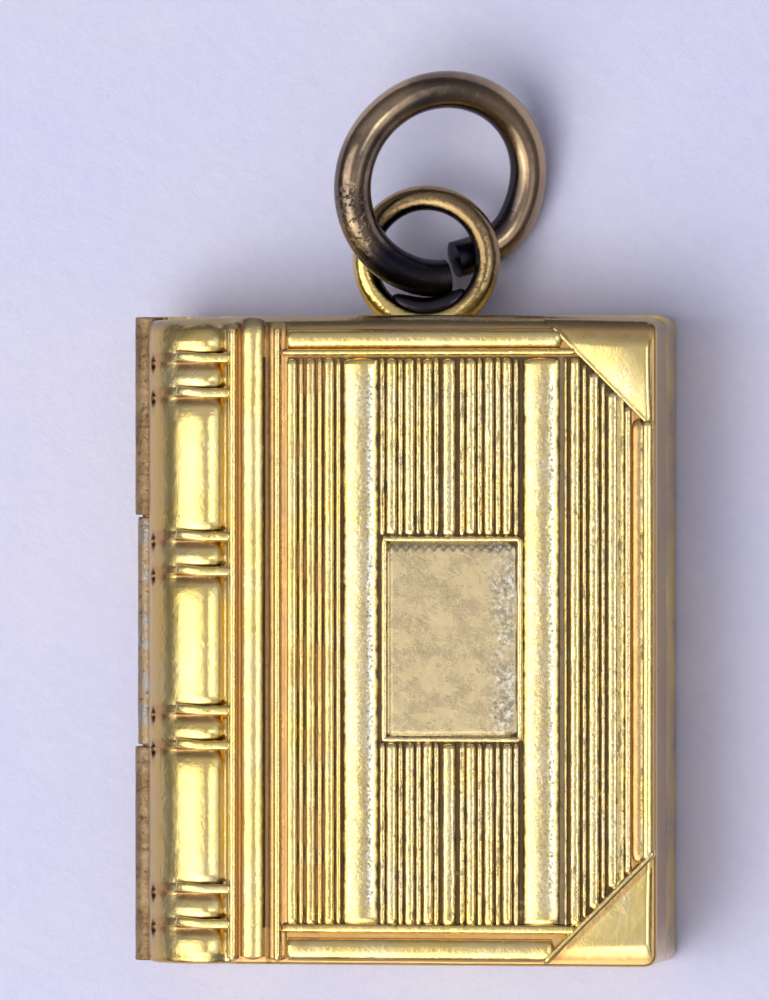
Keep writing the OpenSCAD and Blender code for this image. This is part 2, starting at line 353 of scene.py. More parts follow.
class Laying:
    """Lays nodes in one tree"""

    def __init__(self, tree):
        self.tree = tree

    def fill(self, node, inputs):
        """Joins each input that comes from another node, and sets the others"""
        for key, value in inputs.items():
            if isinstance(value, Value):
                self.tree.links.new(value.socket, node.inputs[key])
            else:
                node.inputs[key].default_value = value

    def node(self, kind, inputs=None, **settings):
        node = self.tree.nodes.new(kind)
        for name, value in settings.items():
            setattr(node, name, value)
        self.fill(node, inputs or {})
        return node

    def put(self, kind, inputs=None, out=0, **settings):
        """Lays a node and gives one of its outputs"""
        return Value(self, self.node(kind, inputs, **settings).outputs[out])

    def parts(self, place):
        """The x, y and z of a place"""
        return [Value(self, socket) for socket in self.node("ShaderNodeSeparateXYZ", {0: place}).outputs]

    def math(self, operation, a, b=0.0, clamp=False):
        return self.put("ShaderNodeMath", {0: a, 1: b}, operation=operation, use_clamp=clamp)

    def most(self, first, *others):
        """The greatest of some values"""
        for other in others:
            first = self.math("MAXIMUM", first, other)
        return first

    def vector(self, operation, a, b):
        return self.put("ShaderNodeVectorMath", {0: a, 1: b}, operation=operation)

    def scaled(self, vector, share):
        """A vector made longer or shorter"""
        return self.put("ShaderNodeVectorMath", {0: vector, "Scale": share}, operation="SCALE")

    def away(self, place, middle, stretch=(1.0, 1.0, 1.0)):
        """How far a place is from a middle, with each direction stretched"""
        reach = self.vector("MULTIPLY", self.vector("SUBTRACT", place, middle), stretch)
        return self.put("ShaderNodeVectorMath", {0: reach}, "Value", operation="LENGTH")

    def span(self, value, low, high, out_low=0.0, out_high=1.0):
        """Maps low..high to out_low..out_high, smoothly"""
        inputs = {
            "Value": value, "From Min": low, "From Max": high, "To Min": out_low, "To Max": out_high
        }
        return self.put("ShaderNodeMapRange", inputs, interpolation_type="SMOOTHSTEP")

    def between(self, value, rise, fall):
        """Rises from 0 to 1 over the first pair of values and falls again over the second"""
        return self.span(value, *rise) * self.span(value, fall[1], fall[0])

    def mix(self, share, a, b):
        """Mixes two colours"""
        return self.put("ShaderNodeMix", {0: share, 6: a, 7: b}, 2, data_type="RGBA", blend_type="MIX")

    def grain(self, place, scale, detail=3.0, roughness=0.5):
        """A cloud pattern, from 0 to 1"""
        inputs = {"Vector": place, "Scale": scale, "Detail": detail, "Roughness": roughness}
        return self.put("ShaderNodeTexNoise", inputs, "Fac")

    def turned(self, place, turn=0.0, scale=(1.0, 1.0, 1.0)):
        """A pattern's place, scaled and turned about z"""
        inputs = {"Vector": place, "Rotation": (0.0, 0.0, turn), "Scale": scale}
        return self.put("ShaderNodeMapping", inputs)


def metal_along_paths():
    """Builds the node tree that lays rounded metal along paths: ribs, bands, beads and rings"""
    tree = bpy.data.node_groups.new("Metal along paths", "GeometryNodeTree")
    kinds = {"Paths": "Geometry", "Sides": "Int", "Material": "Material"}
    for name in ("Paths", "Step", "Sides", "Squareness", "Wobble", "Wobble size", "Dents", "Dent size",
                 "Seed", "Material"):
        kind = "NodeSocket" + kinds.get(name, "Float")
        tree.interface.new_socket(name, in_out="INPUT", socket_type=kind)
    tree.interface.new_socket("Metal", in_out="OUTPUT", socket_type="NodeSocketGeometry")
    lay = Laying(tree)
    given = {socket.name: Value(lay, socket) for socket in lay.node("NodeGroupInput").outputs}

    def stored(name):
        return lay.put("GeometryNodeInputNamedAttribute", {"Name": name}, data_type="FLOAT")

    def place():
        return lay.put("GeometryNodeInputPosition")

    def moved(metal, offset):
        return lay.put("GeometryNodeSetPosition", {"Geometry": metal, "Offset": offset})

    def cloud(out, size, detail):
        inputs = {"Vector": where, "W": given["Seed"], "Scale": given[size], "Detail": detail}
        return lay.put("ShaderNodeTexNoise", inputs, out, noise_dimensions="4D")

    lines = lay.put("GeometryNodeMeshToCurve", {"Mesh": given["Paths"]})
    lines = lay.put("GeometryNodeResampleCurve", {"Curve": lines, "Length": given["Step"]}, mode="LENGTH")
    lines = lay.put("GeometryNodeSetCurveNormal", {"Curve": lines}, mode="Z_UP")
    inputs = {"Geometry": lines, "Name": "level", "Value": lay.parts(place())[2]}
    lines = lay.put("GeometryNodeStoreNamedAttribute", inputs, data_type="FLOAT", domain="POINT")

    # The metal gets thinner towards each end, along a quarter of a round
    along = lay.put("GeometryNodeSplineParameter", out="Length")
    to_end = lay.math("MINIMUM", along, lay.put("GeometryNodeSplineLength", out="Length") - along)
    left = 1.0 - lay.math("DIVIDE", to_end, stored("end"), clamp=True)
    taper = lay.math("SQRT", 1.0 - left * left)
    no_end = lay.math("LESS_THAN", stored("end"), 1e-7)
    width = stored("half_width") * lay.most(taper, no_end, 0.03)

    # The section is a round, made squarer by the power that Squareness gives
    section = lay.put("GeometryNodeCurvePrimitiveCircle", {"Resolution": given["Sides"], "Radius": 1.0})
    power = lay.math("DIVIDE", 2.0, given["Squareness"])
    across, up, _ = lay.parts(place())
    across = lay.math("SIGN", across) * lay.math("POWER", abs(across), power)
    up = lay.math("SIGN", up) * lay.math("POWER", abs(up), power)
    corner = lay.put("ShaderNodeCombineXYZ", {0: across, 1: up})
    section = lay.put("GeometryNodeSetPosition", {"Geometry": section, "Position": corner})
    inputs = {"Curve": lines, "Profile Curve": section, "Scale": width, "Fill Caps": True}
    metal = lay.put("GeometryNodeCurveToMesh", inputs)

    # The height over the path is brought from the half width to the crest
    rise = lay.parts(place())[2] - stored("level")
    share = lay.math("DIVIDE", stored("crest"), stored("half_width")) - 1.0
    metal = moved(metal, lay.put("ShaderNodeCombineXYZ", {2: rise * share}))

    # Slow wobble, and dents pressed in along the surface
    where = place()
    shift = lay.vector("SUBTRACT", cloud("Color", "Wobble size", 1.0), (0.5, 0.5, 0.5))
    metal = moved(metal, lay.scaled(shift, given["Wobble"]))
    depth = lay.span(cloud("Fac", "Dent size", 2.0), 0.60, 0.72) * given["Dents"]
    metal = moved(metal, lay.scaled(lay.put("GeometryNodeInputNormal"), depth * -1.0))

    metal = lay.put("GeometryNodeSetShadeSmooth", {"Geometry": metal})
    metal = lay.put("GeometryNodeRealizeInstances", {"Geometry": metal})
    metal = lay.put("GeometryNodeSetMaterial", {"Geometry": metal, "Material": given["Material"]})
    lay.node("NodeGroupOutput", {"Metal": metal})
    return tree


# Metals and paper

class Coat(Laying):
    """Lays the nodes of one material; places on the piece are in millimetres"""

    def __init__(self, name):
        self.material = bpy.data.materials.new(name)
        self.material.use_nodes = True
        super().__init__(self.material.node_tree)
        self.tree.nodes.clear()
        self.shader = self.node("ShaderNodeBsdfPrincipled")
        self.node("ShaderNodeOutputMaterial", {"Surface": Value(self, self.shader.outputs[0])})
        here = self.put("ShaderNodeTexCoord", out="Object")
        self.place = self.turned(here, scale=(1 / MM, 1 / MM, 1 / MM))
        self.hue = None

    def ground(self, share, one, other):
        """The colour under all others, mixed of two"""
        self.hue = self.mix(share, tint(one), tint(other))

    def over(self, share, name):
        """Lays a colour over the others, as much as share says"""
        self.hue = self.mix(share, self.hue, tint(name))

    def attribute(self, name):
        return self.put("ShaderNodeAttribute", out="Fac", attribute_name=name)

    def lines(self, *ways):
        """Fine scratches; each way is a turn in radians and how fine they are"""
        found = []
        for turn, fine in ways:
            run = self.turned(self.turned(self.place, turn), scale=(fine, fine * 0.04, fine * 0.04))
            found.append(self.span(self.grain(run, 1.0, 2.0, 0.6), 0.60, 0.74))
        return self.most(*found)

    def finish(self, rough, bumps, depth, metallic=1.0):
        """Joins the colour, the roughness and a bump, its depth in millimetres"""
        bump = self.put("ShaderNodeBump", {"Height": bumps, "Distance": depth * MM, "Strength": 1.0})
        inputs = {"Base Color": self.hue, "Roughness": rough, "Metallic": metallic, "Normal": bump}
        self.fill(self.shader, inputs)


def coat_of(make):
    """The material that a function makes, named after it and made once"""
    name = make.__name__.replace("_", " ").capitalize()
    found = bpy.data.materials.get(name)
    if found:
        return found
    coat = Coat(name)
    make(coat)
    return coat.material


def stamped_gold(coat):
    """Gold of the front cover: rubbed on the crests, orange tarnish with painted bounce light and painted
    shade in the grooves, painted shade on the walls, finely scratched
    """
    place = coat.place
    x, y, z = coat.parts(place)
    floor = floor_z()
    corner = x + abs(y)
    cloud = coat.grain(place, 0.55, 4.0)
    speck = coat.grain(place, 5.0, 4.0, 0.6)
    low = z + (speck - 0.5) * 0.09
    face = coat.span(z, floor - 0.10, floor - 0.05)
    coat.ground(coat.span(cloud, 0.35, 0.70), "gold", "worn_gold")

    # Side walls, browner and darker: painted shade
    wall = coat.most(coat.span(x, 6.36, 6.42), coat.span(abs(y), 7.86, 7.93)) * (1.0 - face)
    brown = coat.mix(coat.span(cloud, 0.38, 0.60), tint("groove"), tint("wall"))
    coat.hue = coat.mix(wall * 0.85, coat.hue, brown)

    # Grooves: orange of tarnish and painted bounce light, with painted deep shade between the ribs but
    # not on four orange stripes
    groove = coat.span(low, floor + 0.09, floor + 0.01) * coat.span(x, -4.27, -4.17) * face
    coat.over(groove * 0.8, "groove")
    stripes = []
    for left, right in ((-3.96, -3.78), (-3.06, -2.93), (-2.86, -2.66), (5.86, 6.10)):
        stripes.append(coat.between(x, (left - 0.02, left + 0.02), (right - 0.02, right + 0.02)))
    stripes = coat.most(*stripes) * face * coat.span(corner, 11.6, 11.55)
    rim = coat.between(corner, (11.70, 11.74), (11.88, 12.0)) * face * coat.span(y, 0.0, -1.0)
    stripes = coat.most(stripes, rim)
    field = coat.between(x, (-3.30, -3.26), (6.36, 6.42)) * coat.between(y, (-7.12, -7.06), (6.93, 6.99))
    field = field * face * (1.0 - stripes)
    # Painted deep shade on the floor between the ribs
    coat.over(field * coat.span(low, floor + 0.065, floor + 0.03) * 0.92, "soot")

    # Rubbed crests with painted glints and dark flecks, and painted shade in ragged marks along the
    # flanks of the ribs
    rubbed = []
    for left, right, share in ((-1.3, 5.9, 0.3), (-0.75, -0.34, 1.0), (3.78, 4.13, 1.0)):
        rubbed.append(coat.between(x, (left, left + 0.15), (right - 0.05, right)) * share)
    rubbed = coat.most(*rubbed) * coat.span(z, floor + 0.07, floor + 0.09) * coat.span(abs(y), 7.0, 6.2)
    fleck = coat.grain(place, 13.0, 2.0, 0.6)
    coat.over(rubbed * 0.45, "rubbed")
    # The pale flecks are painted glints
    coat.over(rubbed * coat.span(fleck, 0.52, 0.60) * 0.8, "fleck")
    coat.over(rubbed * coat.span(fleck, 0.43, 0.37) * 0.8, "nick")
    torn = coat.grain(coat.turned(place, scale=(9.0, 2.2, 9.0)), 1.0, 3.0, 0.7)
    flank = coat.span(low, floor + 0.118, floor + 0.095) * coat.span(torn, 0.47, 0.41)
    ribbed = coat.most(coat.between(x, (-0.42, -0.36), (3.14, 3.20)), coat.span(x, 4.12, 4.18))
    flank = flank * field * ribbed * coat.span(corner, 11.55, 11.45) * coat.span(x, 5.95, 5.85)
    coat.over(flank * 0.6, "torn")

    # Painted shade in brown low on the spine; painted dark lines of shade beside the joint band and on
    # the right plain band's right flank; orange stripes of tarnish and painted bounce light; rust
    coat.over(coat.span(x + cloud * 0.1, -5.66, -5.90) * 0.65, "spine")
    coat.over(stripes * coat.span(speck, 0.2, 0.5, 0.35, 0.7), "groove")
    # Painted shade as a dark line in the valley beside the joint band
    line = coat.between(x, (-3.23, -3.20), (-3.09, -3.03)) * face
    coat.over(line * coat.span(speck, 0.25, 0.45, 0.35, 0.85), "crack")
    # Painted shade on the right flank of the right plain band
    shade = coat.between(x, (4.07, 4.13), (4.20, 4.24)) * field * coat.span(abs(y), 6.98, 6.93)
    coat.over(shade * coat.span(speck, 0.25, 0.45, 0.2, 0.7), "olive")
    rust_and_painted_bounce = coat.span(coat.grain(place, 0.8, 3.0), 0.48, 0.62) * face
    coat.over(rust_and_painted_bounce * coat.between(x, (-2.7, -2.6), (-1.7, -1.2)) * 0.45, "groove")

    # Painted olive shade along the head and beside the left ridge, then the painted shade and painted
    # bounce light that the shell's own marks carry
    head = y + coat.span(x, 3.6, 4.4, 0.05, 0.10) + cloud * 0.06
    coat.over(coat.span(head, 7.60, 7.90, 0.0, 0.85), "olive")
    crease = coat.between(x, (-4.42, -4.36), (-4.17, -4.14)) * face
    coat.over(crease * coat.span(z, floor + 0.03, floor - 0.01) * 0.9, "olive")
    coat.over(coat.attribute("painted_bounce"), "groove")
    coat.over(coat.attribute("painted_shade"), "soot")

    lines = coat.lines((0.6, 9.0), (-0.9, 7.0))
    rough = coat.span(cloud, 0.3, 0.7, 0.17, 0.25) + lines * 0.06 + groove * 0.12
    bumps = coat.grain(place, 3.2, 6.0, 0.66) * 0.75 - lines * 0.04
    coat.finish(rough, bumps * coat.span(corner, 11.6, 11.75, 1.0, 0.35), 0.022)


def label_gold(coat):
    """Gold of the label plate: flat and pale, with fine scratches, and painted glints and dark flecks
    along its right side
    """
    place = coat.place
    cloud = coat.grain(place, 2.2, 6.0, 0.72)
    coat.ground(coat.span(cloud, 0.38, 0.62), "label", "label_pale")
    side = coat.between(coat.parts(place)[0], (2.25, 2.6), (2.95, 3.02))
    side = side * coat.span(coat.grain(place, 0.9, 2.0), 0.35, 0.6, 0.15, 0.60)
    fleck = coat.grain(place, 8.0, 3.0, 0.7)
    # Painted glints and dark flecks along the right side
    coat.over(side * coat.span(fleck, 0.52, 0.62), "label_fleck")
    coat.over(side * coat.span(fleck, 0.49, 0.42), "label_nick")
    lines = coat.lines((0.3, 14.0), (-1.1, 11.0))
    bumps = coat.grain(place, 11.0, 5.0, 0.75) * 0.8 - lines * 0.1
    coat.finish(coat.span(cloud, 0.3, 0.7, 0.24, 0.30) + lines * 0.03, bumps, 0.015)


def worn_gold(coat):
    """Gold of the back half: browner, with dull and dark places"""
    place = coat.place
    cloud = coat.grain(place, 0.5, 5.0, 0.6)
    coat.ground(coat.span(cloud, 0.30, 0.70, 0.0, 0.75), "back_gold", "gold")
    coat.over(coat.span(coat.grain(place, 6.0, 4.0, 0.7), 0.60, 0.72) * 0.45, "groove")
    lines = coat.lines((0.2, 6.0), (1.5, 7.0))
    bumps = coat.grain(place, 2.5, 5.0, 0.6) * 0.7 - lines * 0.06
    coat.finish(coat.span(cloud, 0.3, 0.7, 0.24, 0.38) + lines * 0.1, bumps, 0.03)


def barrel_brown(coat):
    """Dull brown of the front half's barrels"""
    place = coat.place
    cloud = coat.grain(place, 0.9, 5.0, 0.6)
    coat.ground(coat.span(cloud, 0.38, 0.62), "barrel", "barrel_pale")
    coat.over(coat.span(coat.grain(place, 6.0, 4.0), 0.55, 0.7) * 0.6, "soot")
    coat.finish(coat.span(cloud, 0.3, 0.7, 0.42, 0.55), coat.grain(place, 4.0, 5.0, 0.65), 0.05)


def bare_metal(coat):
    """Grey metal where the gold has worn off the middle barrel"""
    place = coat.place
    cloud = coat.grain(place, 1.4, 4.0, 0.6)
    coat.ground(coat.span(cloud, 0.36, 0.58), "grey", "barrel_pale")
    coat.over(coat.span(coat.grain(place, 7.0, 3.0), 0.55, 0.7) * 0.6, "soot")
    coat.finish(coat.span(cloud, 0.3, 0.7, 0.28, 0.42), coat.grain(place, 5.0, 5.0, 0.7), 0.04)


def ring_gold(coat):
    """Gold of the soldered ring: bright gold on its lit lower-left side, brown of tarnish and painted
    shade towards its head side, painted shade on top and round its outer edge, blue-black tarnish and
    painted shade on the inside
    """
    place = coat.place
    x, y, z = coat.parts(place)
    sizes = rings()
    cloud = coat.grain(place, 0.8, 4.0, 0.6)
    brown = coat.span(y + x * 0.45 + cloud * 1.2, 8.9, 10.6)
    coat.ground(brown, "gold", "small_ring")
    top = coat.span(z + cloud * 0.3, sizes.small_z + 0.22, sizes.small_z + 0.4)
    coat.over(top * brown * 0.7, "small_ring_top_shade")
    away = coat.away(place, (sizes.small_x, sizes.small_y, sizes.small_z)) + cloud * 0.16
    inner_r = sizes.small_od / 2 - sizes.small_wire
    coat.over(coat.span(away, inner_r + 0.38, inner_r + 0.52) * brown * 0.5, "small_ring_edge_shade")
    # Blue-black tarnish and painted shade on the inside of the soldered ring
    coat.over(coat.span(away, inner_r + 0.27, inner_r + 0.18) * 0.97, "blue_tarnish_and_shade")
    coat.finish(coat.span(cloud, 0.3, 0.7, 0.13, 0.24), coat.grain(place, 2.5, 5.0, 0.6), 0.03)


def antique_wire(coat):
    """Antique brown of the jump ring: rubbed, pitted and scratched, nearly black with tarnish and painted
    shade where the rings meet and along its inner side
    """
    place = coat.place
    x, y, z = coat.parts(place)
    cloud = coat.grain(place, 0.55, 4.0, 0.55)
    fine = coat.grain(place, 7.0, 5.0, 0.65)
    coat.ground(coat.span(cloud, 0.40, 0.62), "ring", "ring_worn")
    coat.over(coat.span(fine, 0.56, 0.74) * 0.25, "soot")
    coat.over(coat.span(x, 1.0, 3.2, 0.0, 0.6), "ring_right")
    # Tarnish and painted shade where the rings meet and along the ring's inner side
    meeting = coat.away(place, (0.75, 8.95, 1.5), (0.62, 1.0, 0.0)) + cloud * 0.3
    dark = coat.span(meeting, 1.35, 0.98)
    coat.over(dark * 0.93, "blue_tarnish_and_shade")
    inner = coat.span(coat.away(place, JUMP_MIDDLE) + cloud * 0.2, 2.26, 2.06)
    coat.over(inner * 0.85, "blue_tarnish_and_shade")
    lines = coat.lines((0.4, 7.0), (1.9, 8.0))
    rough = coat.span(fine, 0.3, 0.7, 0.15, 0.23) + lines * 0.04 + dark * 0.10
    pits = coat.span(coat.grain(place, 6.0, 3.0, 0.6), 0.52, 0.66)
    pits = pits * coat.span(x, -0.6, -1.2) * coat.span(y, 11.4, 10.8)
    coat.finish(rough, fine * 0.12 - pits * 1.4 - lines * 0.03, 0.03)


def pale_paper(coat):
    """Pale lavender paper with a fine tooth and a few fibres"""
    place = coat.place
    tooth = coat.grain(place, 3.0, 6.0, 0.75)
    fluff = coat.grain(coat.turned(coat.turned(place, 0.5), scale=(0.8, 2.0, 1.0)), 1.0, 4.0, 0.6)
    coat.ground(coat.span(coat.grain(place, 0.12, 3.0), 0.3, 0.7), "paper", "paper_warm")
    coat.over(coat.span(tooth, 0.35, 0.7) * 0.16, "paper_dark")
    coat.over(coat.span(fluff, 0.42, 0.7) * 0.10, "paper_pale")
    coat.finish(0.85, tooth + fluff * 0.3, 0.03, metallic=0.0)


# Making pieces

def add(points, *place):
    """Adds a point and gives its number"""
    points.append(place)
    return len(points) - 1


def bridge(faces, one, other, ring=False):
    """Joins two lines of points with faces, all round if they are rings"""
    count = len(one)
    for k in range(count if ring else count - 1):
        after = (k + 1) % count
        faces.append((one[k], other[k], other[after], one[after]))


def bridge_all(faces, lines, ring=False):
    """Joins each line of points to the next"""
    for one, other in zip(lines, lines[1:]):
        bridge(faces, one, other, ring)


def finish_mesh(mesh, sharp):
    """Merges doubles, turns the faces outward and marks the sharp edges"""
    work = bmesh.new()
    work.from_mesh(mesh)
    bmesh.ops.remove_doubles(work, verts=work.verts, dist=0.0004 * MM)
    bmesh.ops.dissolve_degenerate(work, edges=work.edges, dist=0.0002 * MM)
    bmesh.ops.recalc_face_normals(work, faces=work.faces)
    work.to_mesh(mesh)
    work.free()
    mesh.shade_smooth()
    mesh.set_sharp_from_angle(angle=math.radians(sharp))


def put_in_scene(name, mesh):
    """Puts an object with this mesh, lamp or camera in the scene"""
    piece = bpy.data.objects.new(name, mesh)
    bpy.context.scene.collection.objects.link(piece)
    return piece


def make_piece(name, points, faces, make, sharp=35.0):
    """Makes a closed piece from points in millimetres"""
    mesh = bpy.data.meshes.new(name)
    mesh.from_pydata([tuple(value * MM for value in point) for point in points], [], faces)
    mesh.materials.append(coat_of(make))
    finish_mesh(mesh, sharp)
    return put_in_scene(name, mesh)


def declare(piece, body, slot, *nodes):
    """Says which body a piece rides on and hides the nodes it stands for; slot, the piece's finish, is
    not used
    """
    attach(piece, body)
    if nodes:
        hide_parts(*nodes)


class Path:
    """One line that metal follows, in millimetres"""

    def __init__(self, points, half_width, crest, end, closed=False):
        self.points = points
        self.half_width = half_width
        self.crest = crest
        self.end = end
        self.closed = closed


def lay_metal(name, paths, make, step, squareness, wobble, wobble_size,
              dents=0.0, dent_size=0.4, sides=0):
    """Lays rounded metal along the paths with the node tree, and keeps it as a plain mesh"""
    making = bpy.context.scene.locket_making
    points = []
    edges = []
    sizes = {"half_width": [], "crest": [], "end": []}
    for path in paths:
        first = len(points)
        points += [tuple(value * MM for value in point) for point in path.points]
        edges += [(i, i + 1) for i in range(first, len(points) - 1)]
        if path.closed:
            edges.append((len(points) - 1, first))
        for key, values in sizes.items():
            values += [getattr(path, key) * MM] * len(path.points)
    mesh = bpy.data.meshes.new(name + "_paths")
    mesh.from_pydata(points, edges, [])
    for key, values in sizes.items():
        mesh.attributes.new(key, "FLOAT", "POINT").data.foreach_set("value", values)
    piece = put_in_scene(name, mesh)
    tree = bpy.data.node_groups.get("Metal along paths") or metal_along_paths()
    modifier = piece.modifiers.new("Metal along paths", "NODES")
    modifier.node_group = tree
    settings = {
        "Step": step * MM,
        "Sides": sides or making.sides,
        "Squareness": squareness,
        "Wobble": wobble * MM,
        "Wobble size": 1.0 / (wobble_size * MM),
        "Dents": dents * MM,
        "Dent size": 1.0 / (dent_size * MM),
        "Seed": float(making.seed),
        "Material": coat_of(make),
    }
    for socket in tree.interface.items_tree:
        if socket.name in settings:
            modifier[socket.identifier] = settings[socket.name]
    shapes = bpy.context.evaluated_depsgraph_get()
    grown = bpy.data.meshes.new_from_object(piece.evaluated_get(shapes), depsgraph=shapes)
    piece.modifiers.remove(modifier)
    piece.data = grown
    for key in (*sizes, "level"):
        if key in grown.attributes:
            grown.attributes.remove(grown.attributes[key])
    finish_mesh(grown, 60.0)
    return piece


# The two halves of the case

FOLD_STEPS = 6
WALL_STEPS = 6
INNER_FOLD = 0.05
INNER_CORNER = 0.12


def corner_limit(y, edge, end, radius):
    """How far to the right a cover reaches at height y, with its rounded corner"""
    over = abs(y) - (end - radius)
    if over <= 0:
        return edge
    return edge - radius + math.sqrt(max(radius * radius - over * over, 0.0))


def outward(x, y, edge, end, radius, side):
    """The way out of the case in plan, from a point of its outline"""
    over_x = x - (edge - radius)
    over_y = abs(y) - (end - radius)
    sign = 1.0 if y > 0 else -1.0
    if over_x > 1e-6 and over_y > 1e-6:
        return Vector((over_x, over_y * sign)).normalized()
    return Vector((1.0, 0.0)) if side == "edge" else Vector((0.0, sign))


def lay_skin(points, faces, columns, rows, edge, end, radius, fold, cut,
             sink=lambda x, y: 0.0, bow=lambda x, y: y, dent=lambda x, y, h: 0.0, head_start=0.0):
    """Adds one skin of a half: the face with its spine, the fold round three sides and the walls

    columns: what gives x, the height over the rim and the normal of each column at y
    cut: where the walls end; sink, bow, dent and head_start: how the skin leaves its plain form
    """
    edge -= fold
    end -= fold
    radius -= fold
    squeeze_x = edge - 1.0
    grid = []
    plan = {}
    for column in columns:
        line = []
        for y in rows:
            x, h, nx, nh = column(y)
            # The last millimetre is squeezed in to follow the rounded corners
            if x > squeeze_x:
                x = squeeze_x + (x - squeeze_x) * (corner_limit(y, edge, end, radius) - squeeze_x)
            sunk = sink(x, y)
            line.append(add(points, x - nx * sunk, bow(x, y), h - nh * sunk))
            plan[line[-1]] = (y, nx, nh)
        grid.append(line)
    bridge_all(faces, grid)
    walk = [(line[-1], "head") for line in grid]
    walk += [(point, "edge") for point in grid[-1][-2:0:-1]]
    walk += [(line[0], "foot") for line in reversed(grid)]
    chains = []
    for first, side in walk:
        x, y, h = points[first]
        plan_y, nx, nh = plan[first]
        way = outward(x, plan_y, edge, end, radius, side)
        chain = [first]
        start = head_start * max(way.y, 0.0) * nh
        reach = fold / (1.0 - math.sin(start))
        for turn in spread(start, math.pi / 2, FOLD_STEPS + 1)[1:]:
            out = reach * (math.sin(turn) - math.sin(start))
            down = reach * (math.cos(start) - math.cos(turn))
            chain.append(add(points, x + way.x * out - nx * down, y + way.y * out, h - nh * down))
        x, y, h = points[chain[-1]]
        bottom = cut(x, plan_y)
        for share in spread(0.0, 1.0, WALL_STEPS + 1)[1:]:
            level = h + (bottom - h) * share
            push = dent(x, y, level) * math.sin(math.pi * share)
            chain.append(add(points, x + way.x * push, y + way.y * push, level))
        chains.append(chain)
    bridge_all(faces, chains)
    return grid[0] + chains[0][1:] + [chain[-1] for chain in chains[1:-1]] + chains[-1][:0:-1]


def spine_column(share, radius, centre_h, start_cut, cut_at):
    """A column of the spine, at a share of its round from the rim; a barrel's room lifts its start"""
    reach = radius * math.pi / 2 + centre_h

    def column(y):
        start = start_cut if cut_at(y) else 0.0
        run = start + reach * share * (1.0 - start / reach)
        if run <= centre_h:
            return spine_middle_x() - radius, run, -1.0, 0.0
        turn = (run - centre_h) / radius
        out, up = -math.cos(turn), math.sin(turn)
        return spine_middle_x() + radius * out, centre_h + radius * up, out, up

    return column


def face_column(x, h, nx=0.0):
    """A column of the flat face or the valley"""
    return lambda y: (x, h, nx, math.sqrt(1.0 - nx * nx))


def row_places(end, radius, bands, edges):
    """Rows of a skin: close together at the spine bands, at the barrels' ends and round the corners"""
    straight = end - radius
    rows = spread(-straight, straight, 56)
    for k in range(1, 7):
        up = straight + radius * math.sin(math.pi / 2 * k / 6)
        rows += [-up, up]
    for band in bands:
        for step in (0.0, 0.03, 0.06, 0.09, 0.12, 0.15, 0.19, 0.23, 0.28, 0.34, 0.40):
            rows += [band - 0.02 + step, band - 0.02 - step]
    for y in edges:
        rows += [y - 0.012, y + 0.012]
    kept = []
    for y in sorted({round(y, 4) for y in rows if abs(y) <= end + 1e-6}):
        if not kept or y - kept[-1] > 0.011:
            kept.append(y)
    return kept


def make_half(name, make, up, rim_z, face_h, centre_h, tail, ends, cut_between, sink, bow, bands,
              head_start=0.0):
    """Makes one half of the case: outer skin, inner skin and the rim between them

    up: 1 for the front half, -1 for the back; tail: the valley beside the spine
    ends, cut_between: where the rim is cut away for the other half's barrels
    """
    sizes = case()
    middle = spine_middle_x()
    inner_r = sizes.spine_r - sizes.wall
    fold = sizes.fold_r
    gap = sizes.rim_gap / 2
    right = sizes.edge_x - fold

    def cut_at(y):
        return (ends[0] < y < ends[1]) == cut_between

    def room(x):
        over = hinge().room_r ** 2 - (x - hinge_x) ** 2
        return max(math.sqrt(max(over, 0.0)) - gap, 0.0)

    def cut(x, y):
        return room(x) if cut_at(y) else 0.0

    def dent(x, y, h):
        return min(0.02 * ripple(x * 0.9, y * 0.9, h * 0.9) - 0.012, -0.002)

    def spine_columns(radius):
        return [spine_column(share, radius, centre_h, room(middle - radius), cut_at) for share in shares]

    # Columns stand closer at the spine's dimples and where the floor steps up to the ribbed field
    shares = sorted(spread(0.0, 1.0, 41) + (spread(0.321, 0.519, 12) if bands else []))
    flat_x = tail[-1][0] if tail else middle
    flat_xs = spread(flat_x + 0.3, right - 1.0, 16) + spread(right - 0.9, right, 9)
    flat_xs += [-2.88, -2.80, 5.85, 5.95] if bands else []
    columns = spine_columns(sizes.spine_r) + [face_column(*place) for place in tail]
    columns += [face_column(x, face_h) for x in sorted(flat_xs)]
    inner_columns = spine_columns(inner_r)
    for x in spread(middle + 0.1, sizes.edge_x - sizes.wall - INNER_FOLD, len(columns) - len(shares)):
        round_h = centre_h + math.sqrt(max(inner_r ** 2 - (x - middle) ** 2, 0.0))
        inner_columns.append(face_column(x, max(round_h, face_h - sizes.wall)))
    end = sizes.head_y - fold
    rows = row_places(end, sizes.corner_r - fold, bands, ends)
    shared_y = 7.0
    squeeze = (sizes.head_y - sizes.wall - INNER_FOLD - shared_y) / (end - shared_y)
    inner_rows = []
    for y in rows:
        beyond = max(abs(y) - shared_y, 0.0)
        inner_rows.append(math.copysign(shared_y + beyond * squeeze, y) if beyond else y)
    points = []
    faces = []
    outer = lay_skin(
        points, faces, columns, rows, edge=sizes.edge_x, end=sizes.head_y, radius=sizes.corner_r,
        fold=fold, cut=cut, sink=sink, bow=bow, dent=dent, head_start=head_start,
    )
    inner = lay_skin(
        points, faces, inner_columns, inner_rows, edge=sizes.edge_x - sizes.wall,
        end=sizes.head_y - sizes.wall, radius=INNER_CORNER, fold=INNER_FOLD, cut=cut,
    )
    bridge(faces, outer, inner, ring=True)
    return make_piece(name, [(x, y, rim_z + up * h) for x, y, h in points], faces, make)


def middle_barrel_ends(gap=0.0):
    """Both ends of the middle barrel along the pin, and a gap beyond them"""
    half = hinge().middle_l / 2 + gap
    return hinge().middle_y - half, hinge().middle_y + half


